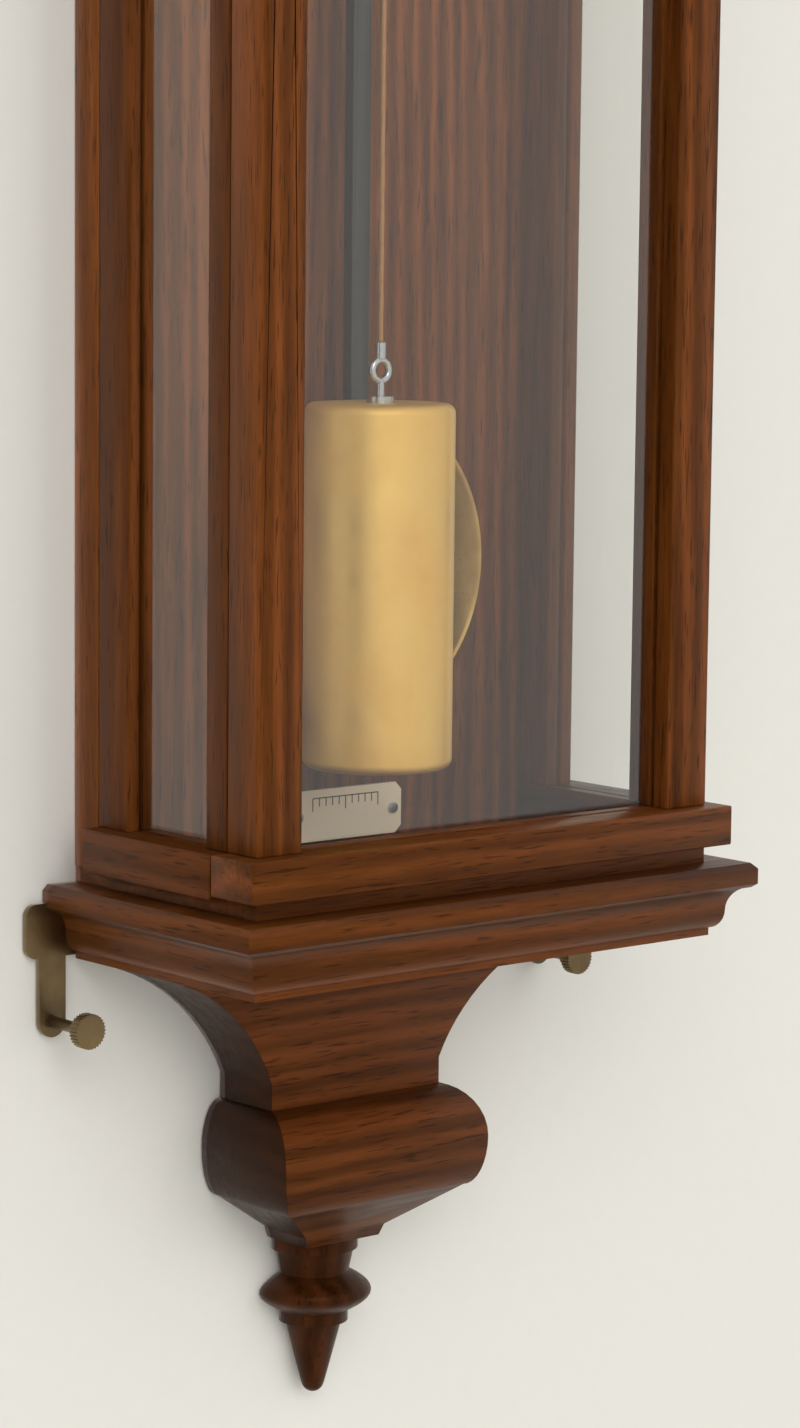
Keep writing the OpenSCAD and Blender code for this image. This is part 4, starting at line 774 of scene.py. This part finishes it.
class REGULATOR_OT_beat_plate(Operator):
    """Fires the beat plate and draws its scale"""
    bl_idname = "regulator.beat_plate"
    bl_label = "Beat plate"

    def execute(self, context):
        enamel = fired_enamel("fired_enamel_beat_plate", context.scene.regulator_dial.cream)
        dress(["beat_plate"], enamel, 0.0)
        low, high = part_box("beat_plate")
        ticks_a_side, gap, line, tick = 5, 2.2 * MM, 0.3 * MM, 0.32 * MM
        long_tick, short_tick, margin = 3.4 * MM, 2.2 * MM, 2.2 * MM
        middle, top = (low.x + high.x) / 2, high.z - margin
        reach = ticks_a_side * gap
        marks = [bar(middle - reach, top, middle + reach, top, line)]
        for i in range(-ticks_a_side, ticks_a_side + 1):
            drop = long_tick if i % ticks_a_side == 0 else short_tick
            marks.append(bar(middle + i * gap, top, middle + i * gap, top - drop, tick))
        mesh = flat_mesh("beat_scale", marks, low.y, INK_DEPTH)
        new_piece("beat_scale", mesh, fired_ink("fired_black_scale"), "case")
        return {"FINISHED"}


class REGULATOR_OT_fittings(Operator):
    """Finishes the hanger, the screws and the levelling brackets"""
    bl_idname = "regulator.fittings"
    bl_label = "Wall fittings"

    def execute(self, context):
        metal = context.scene.regulator_metal
        dress(["hanger_plate"], steel("filed_steel_hanger", metal.steel, 0.38), 0.15)
        dress(["case_screws"], steel("steel_case_screws", metal.steel, 0.35), 0.1)
        brackets = brass("bronzed_levelling_brackets", "straight", rough=0.4, toned=0.5, bare=True)
        dress(["levelling_brackets"], brackets, 0.15)
        screws = brass("bronzed_levelling_screws", "turned", rough=0.34, toned=0.4, bare=True)
        dress(["levelling_screw_left", "levelling_screw_right"], screws, 0.12)
        return {"FINISHED"}


class REGULATOR_OT_stage(Operator):
    """Builds the plain pale wall and floor, the soft light and the camera"""
    bl_idname = "regulator.stage"
    bl_label = "Wall, light and camera"

    def execute(self, context):
        stage, scene = context.scene.regulator_stage, context.scene
        left, right, front, back, low, high = -3.2, 3.2, -4.0, 0.6 * MM, -1.25, 1.9
        self.sheet("wall", stage.wall, [
            (left, back, low), (right, back, low), (right, back, high), (left, back, high)])
        self.sheet("floor", stage.floor, [
            (left, front, low), (right, front, low), (right, back, low), (left, back, low)])
        scene.world = self.world(stage)
        aim = Vector(stage.aim)
        self.lamp("window", (-1.2, -2.1, 1.1), aim, (1.9, 1.4), stage.window, "#FFFAF4")
        fill = self.lamp("room_fill", (0.5, -2.6, 0.2), aim, (1.8, 1.4), stage.window / 2, "#FFF8EE")
        # the fill lamp leaves no bright patch in either face of the glass
        fill.visible_glossy = fill.visible_transmission = False
        scene.camera = self.camera(stage, aim)
        scene.view_settings.view_transform = "Standard"
        return {"FINISHED"}

    def place(self, name, data):
        """Puts a mesh, a lamp or a camera in the scene."""
        thing = bpy.data.objects.new(name, data)
        bpy.context.scene.collection.objects.link(thing)
        return thing

    def sheet(self, name, tint, corners):
        """One painted sheet, clear from behind and to light that leaves the clock's back."""
        mesh = bpy.data.meshes.new(name)
        mesh.from_pydata(corners, [], [(0, 1, 2, 3)])
        material, tree, shader = blank("painted_" + name)
        at = add(tree, "ShaderNodeTexCoord").outputs["Object"]
        skin = add(tree, "ShaderNodeTexNoise", inputs={"Vector": at, "Scale": across(3), "Detail": 3.0})
        base = add(tree, "ShaderNodeMix", {"data_type": "RGBA"}, {0: skin.outputs["Fac"],
            6: opaque(tint), 7: opaque(tint, 0.97)})
        feed(tree, shader, {"Base Color": base.outputs[2], "Roughness": 0.9})
        ray = add(tree, "ShaderNodeLightPath").outputs
        touching = add(tree, "ShaderNodeMath", {"operation": "LESS_THAN"},
            {0: ray["Ray Length"], 1: 3 * MM})
        behind = add(tree, "ShaderNodeNewGeometry").outputs["Backfacing"]
        open_to = add(tree, "ShaderNodeMath", {"operation": "MAXIMUM"}, {0: behind, 1: touching.outputs[0]})
        blend_surface(tree, open_to.outputs[0], shader, add(tree, "ShaderNodeBsdfTransparent"))
        mesh.materials.append(material)
        self.place(name, mesh)

    def world(self, stage):
        """A room that is brighter above and to the left; looked at, it is as pale as the wall."""
        world = bpy.data.worlds.new("room")
        world.use_nodes = True
        tree = world.node_tree
        toward = add(tree, "ShaderNodeTexCoord").outputs["Generated"]
        lean = add(tree, "ShaderNodeVectorMath", {"operation": "DOT_PRODUCT"},
            {0: toward, 1: (-0.45, 0, 0.9)})
        level = add(tree, "ShaderNodeMapRange", inputs={
            "Value": lean.outputs["Value"], "From Min": -1.0, "From Max": 1.0})
        dim, middle, bright = (linear(code) for code in ("#8C8074", "#E6E4E0", "#FFFFFF"))
        air = add(tree, "ShaderNodeValToRGB", {"stops": ((0.1, dim), (0.5, middle), (0.9, bright))},
            {"Fac": level.outputs[0]})
        ray = add(tree, "ShaderNodeLightPath").outputs
        straight = add(tree, "ShaderNodeMath", {"operation": "MAXIMUM"},
            {0: ray["Is Camera Ray"], 1: ray["Is Transmission Ray"]})
        looked_at = add(tree, "ShaderNodeMath", {"operation": "MAXIMUM"},
            {0: straight.outputs[0], 1: ray["Is Glossy Ray"]})
        seen = add(tree, "ShaderNodeMix", {"data_type": "RGBA"}, {
            0: looked_at.outputs[0], 6: air.outputs["Color"], 7: opaque(stage.wall)})
        background = tree.nodes["Background"]
        tree.links.new(seen.outputs[2], background.inputs["Color"])
        background.inputs["Strength"].default_value = stage.room
        return world

    def lamp(self, name, at, aim, size, power, tint):
        """A soft rectangular lamp at a place, turned to the point the camera looks at."""
        data = bpy.data.lights.new(name, "AREA")
        data.shape = "RECTANGLE"
        data.size, data.size_y = size
        data.energy, data.color = power, linear(tint)
        lamp = self.place(name, data)
        lamp.location = at
        lamp.rotation_euler = (aim - Vector(at)).to_track_quat("-Z", "Y").to_euler()
        return lamp

    def camera(self, stage, aim):
        """The camera at the photograph's viewing angle."""
        data = bpy.data.cameras.new("camera")
        data.lens, data.sensor_width = stage.lens, 36
        camera = self.place("camera", data)
        a, e = stage.azimuth, stage.elevation
        away = Vector((math.sin(a) * math.cos(e), -math.cos(a) * math.cos(e), math.sin(e)))
        camera.location = aim + away * stage.distance
        tilt = Quaternion((0, 0, 1), stage.roll)
        camera.rotation_euler = ((-away).to_track_quat("-Z", "Y") @ tilt).to_euler()
        return camera


STEPS = (
    REGULATOR_OT_case, REGULATOR_OT_mouldings, REGULATOR_OT_door, REGULATOR_OT_glass, REGULATOR_OT_dial,
    REGULATOR_OT_works, REGULATOR_OT_pendulum, REGULATOR_OT_weight, REGULATOR_OT_beat_plate,
    REGULATOR_OT_fittings, REGULATOR_OT_stage)
GROUPS = {
    "regulator_walnut": WalnutSettings, "regulator_metal": MetalSettings, "regulator_dial": DialSettings,
    "regulator_line": LineSettings, "regulator_stage": StageSettings}


class REGULATOR_PT_panel(Panel):
    """Lists the steps that dress the regulator, and their settings"""
    bl_idname = "REGULATOR_PT_panel"
    bl_label = "Wall Regulator"
    bl_space_type = "VIEW_3D"
    bl_region_type = "UI"
    bl_category = "Regulator"

    def draw(self, context):
        for step in STEPS:
            self.layout.operator(step.bl_idname)
        for name, group in GROUPS.items():
            box = self.layout.box()
            for key in group.__annotations__:
                box.prop(getattr(context.scene, name), key)


def register():
    for group in GROUPS.values():
        bpy.utils.register_class(group)
    for step in STEPS + (REGULATOR_PT_panel,):
        bpy.utils.register_class(step)
    for name, group in GROUPS.items():
        setattr(bpy.types.Scene, name, PointerProperty(type=group))


def unregister():
    for name in GROUPS:
        delattr(bpy.types.Scene, name)
    for step in (REGULATOR_PT_panel,) + STEPS[::-1]:
        bpy.utils.unregister_class(step)
    for group in GROUPS.values():
        bpy.utils.unregister_class(group)


def main():
    register()
    for step in STEPS:
        family, name = step.bl_idname.split(".")
        getattr(getattr(bpy.ops, family), name)()
    bpy.context.view_layer.update()


if __name__ == "__main__":
    main()
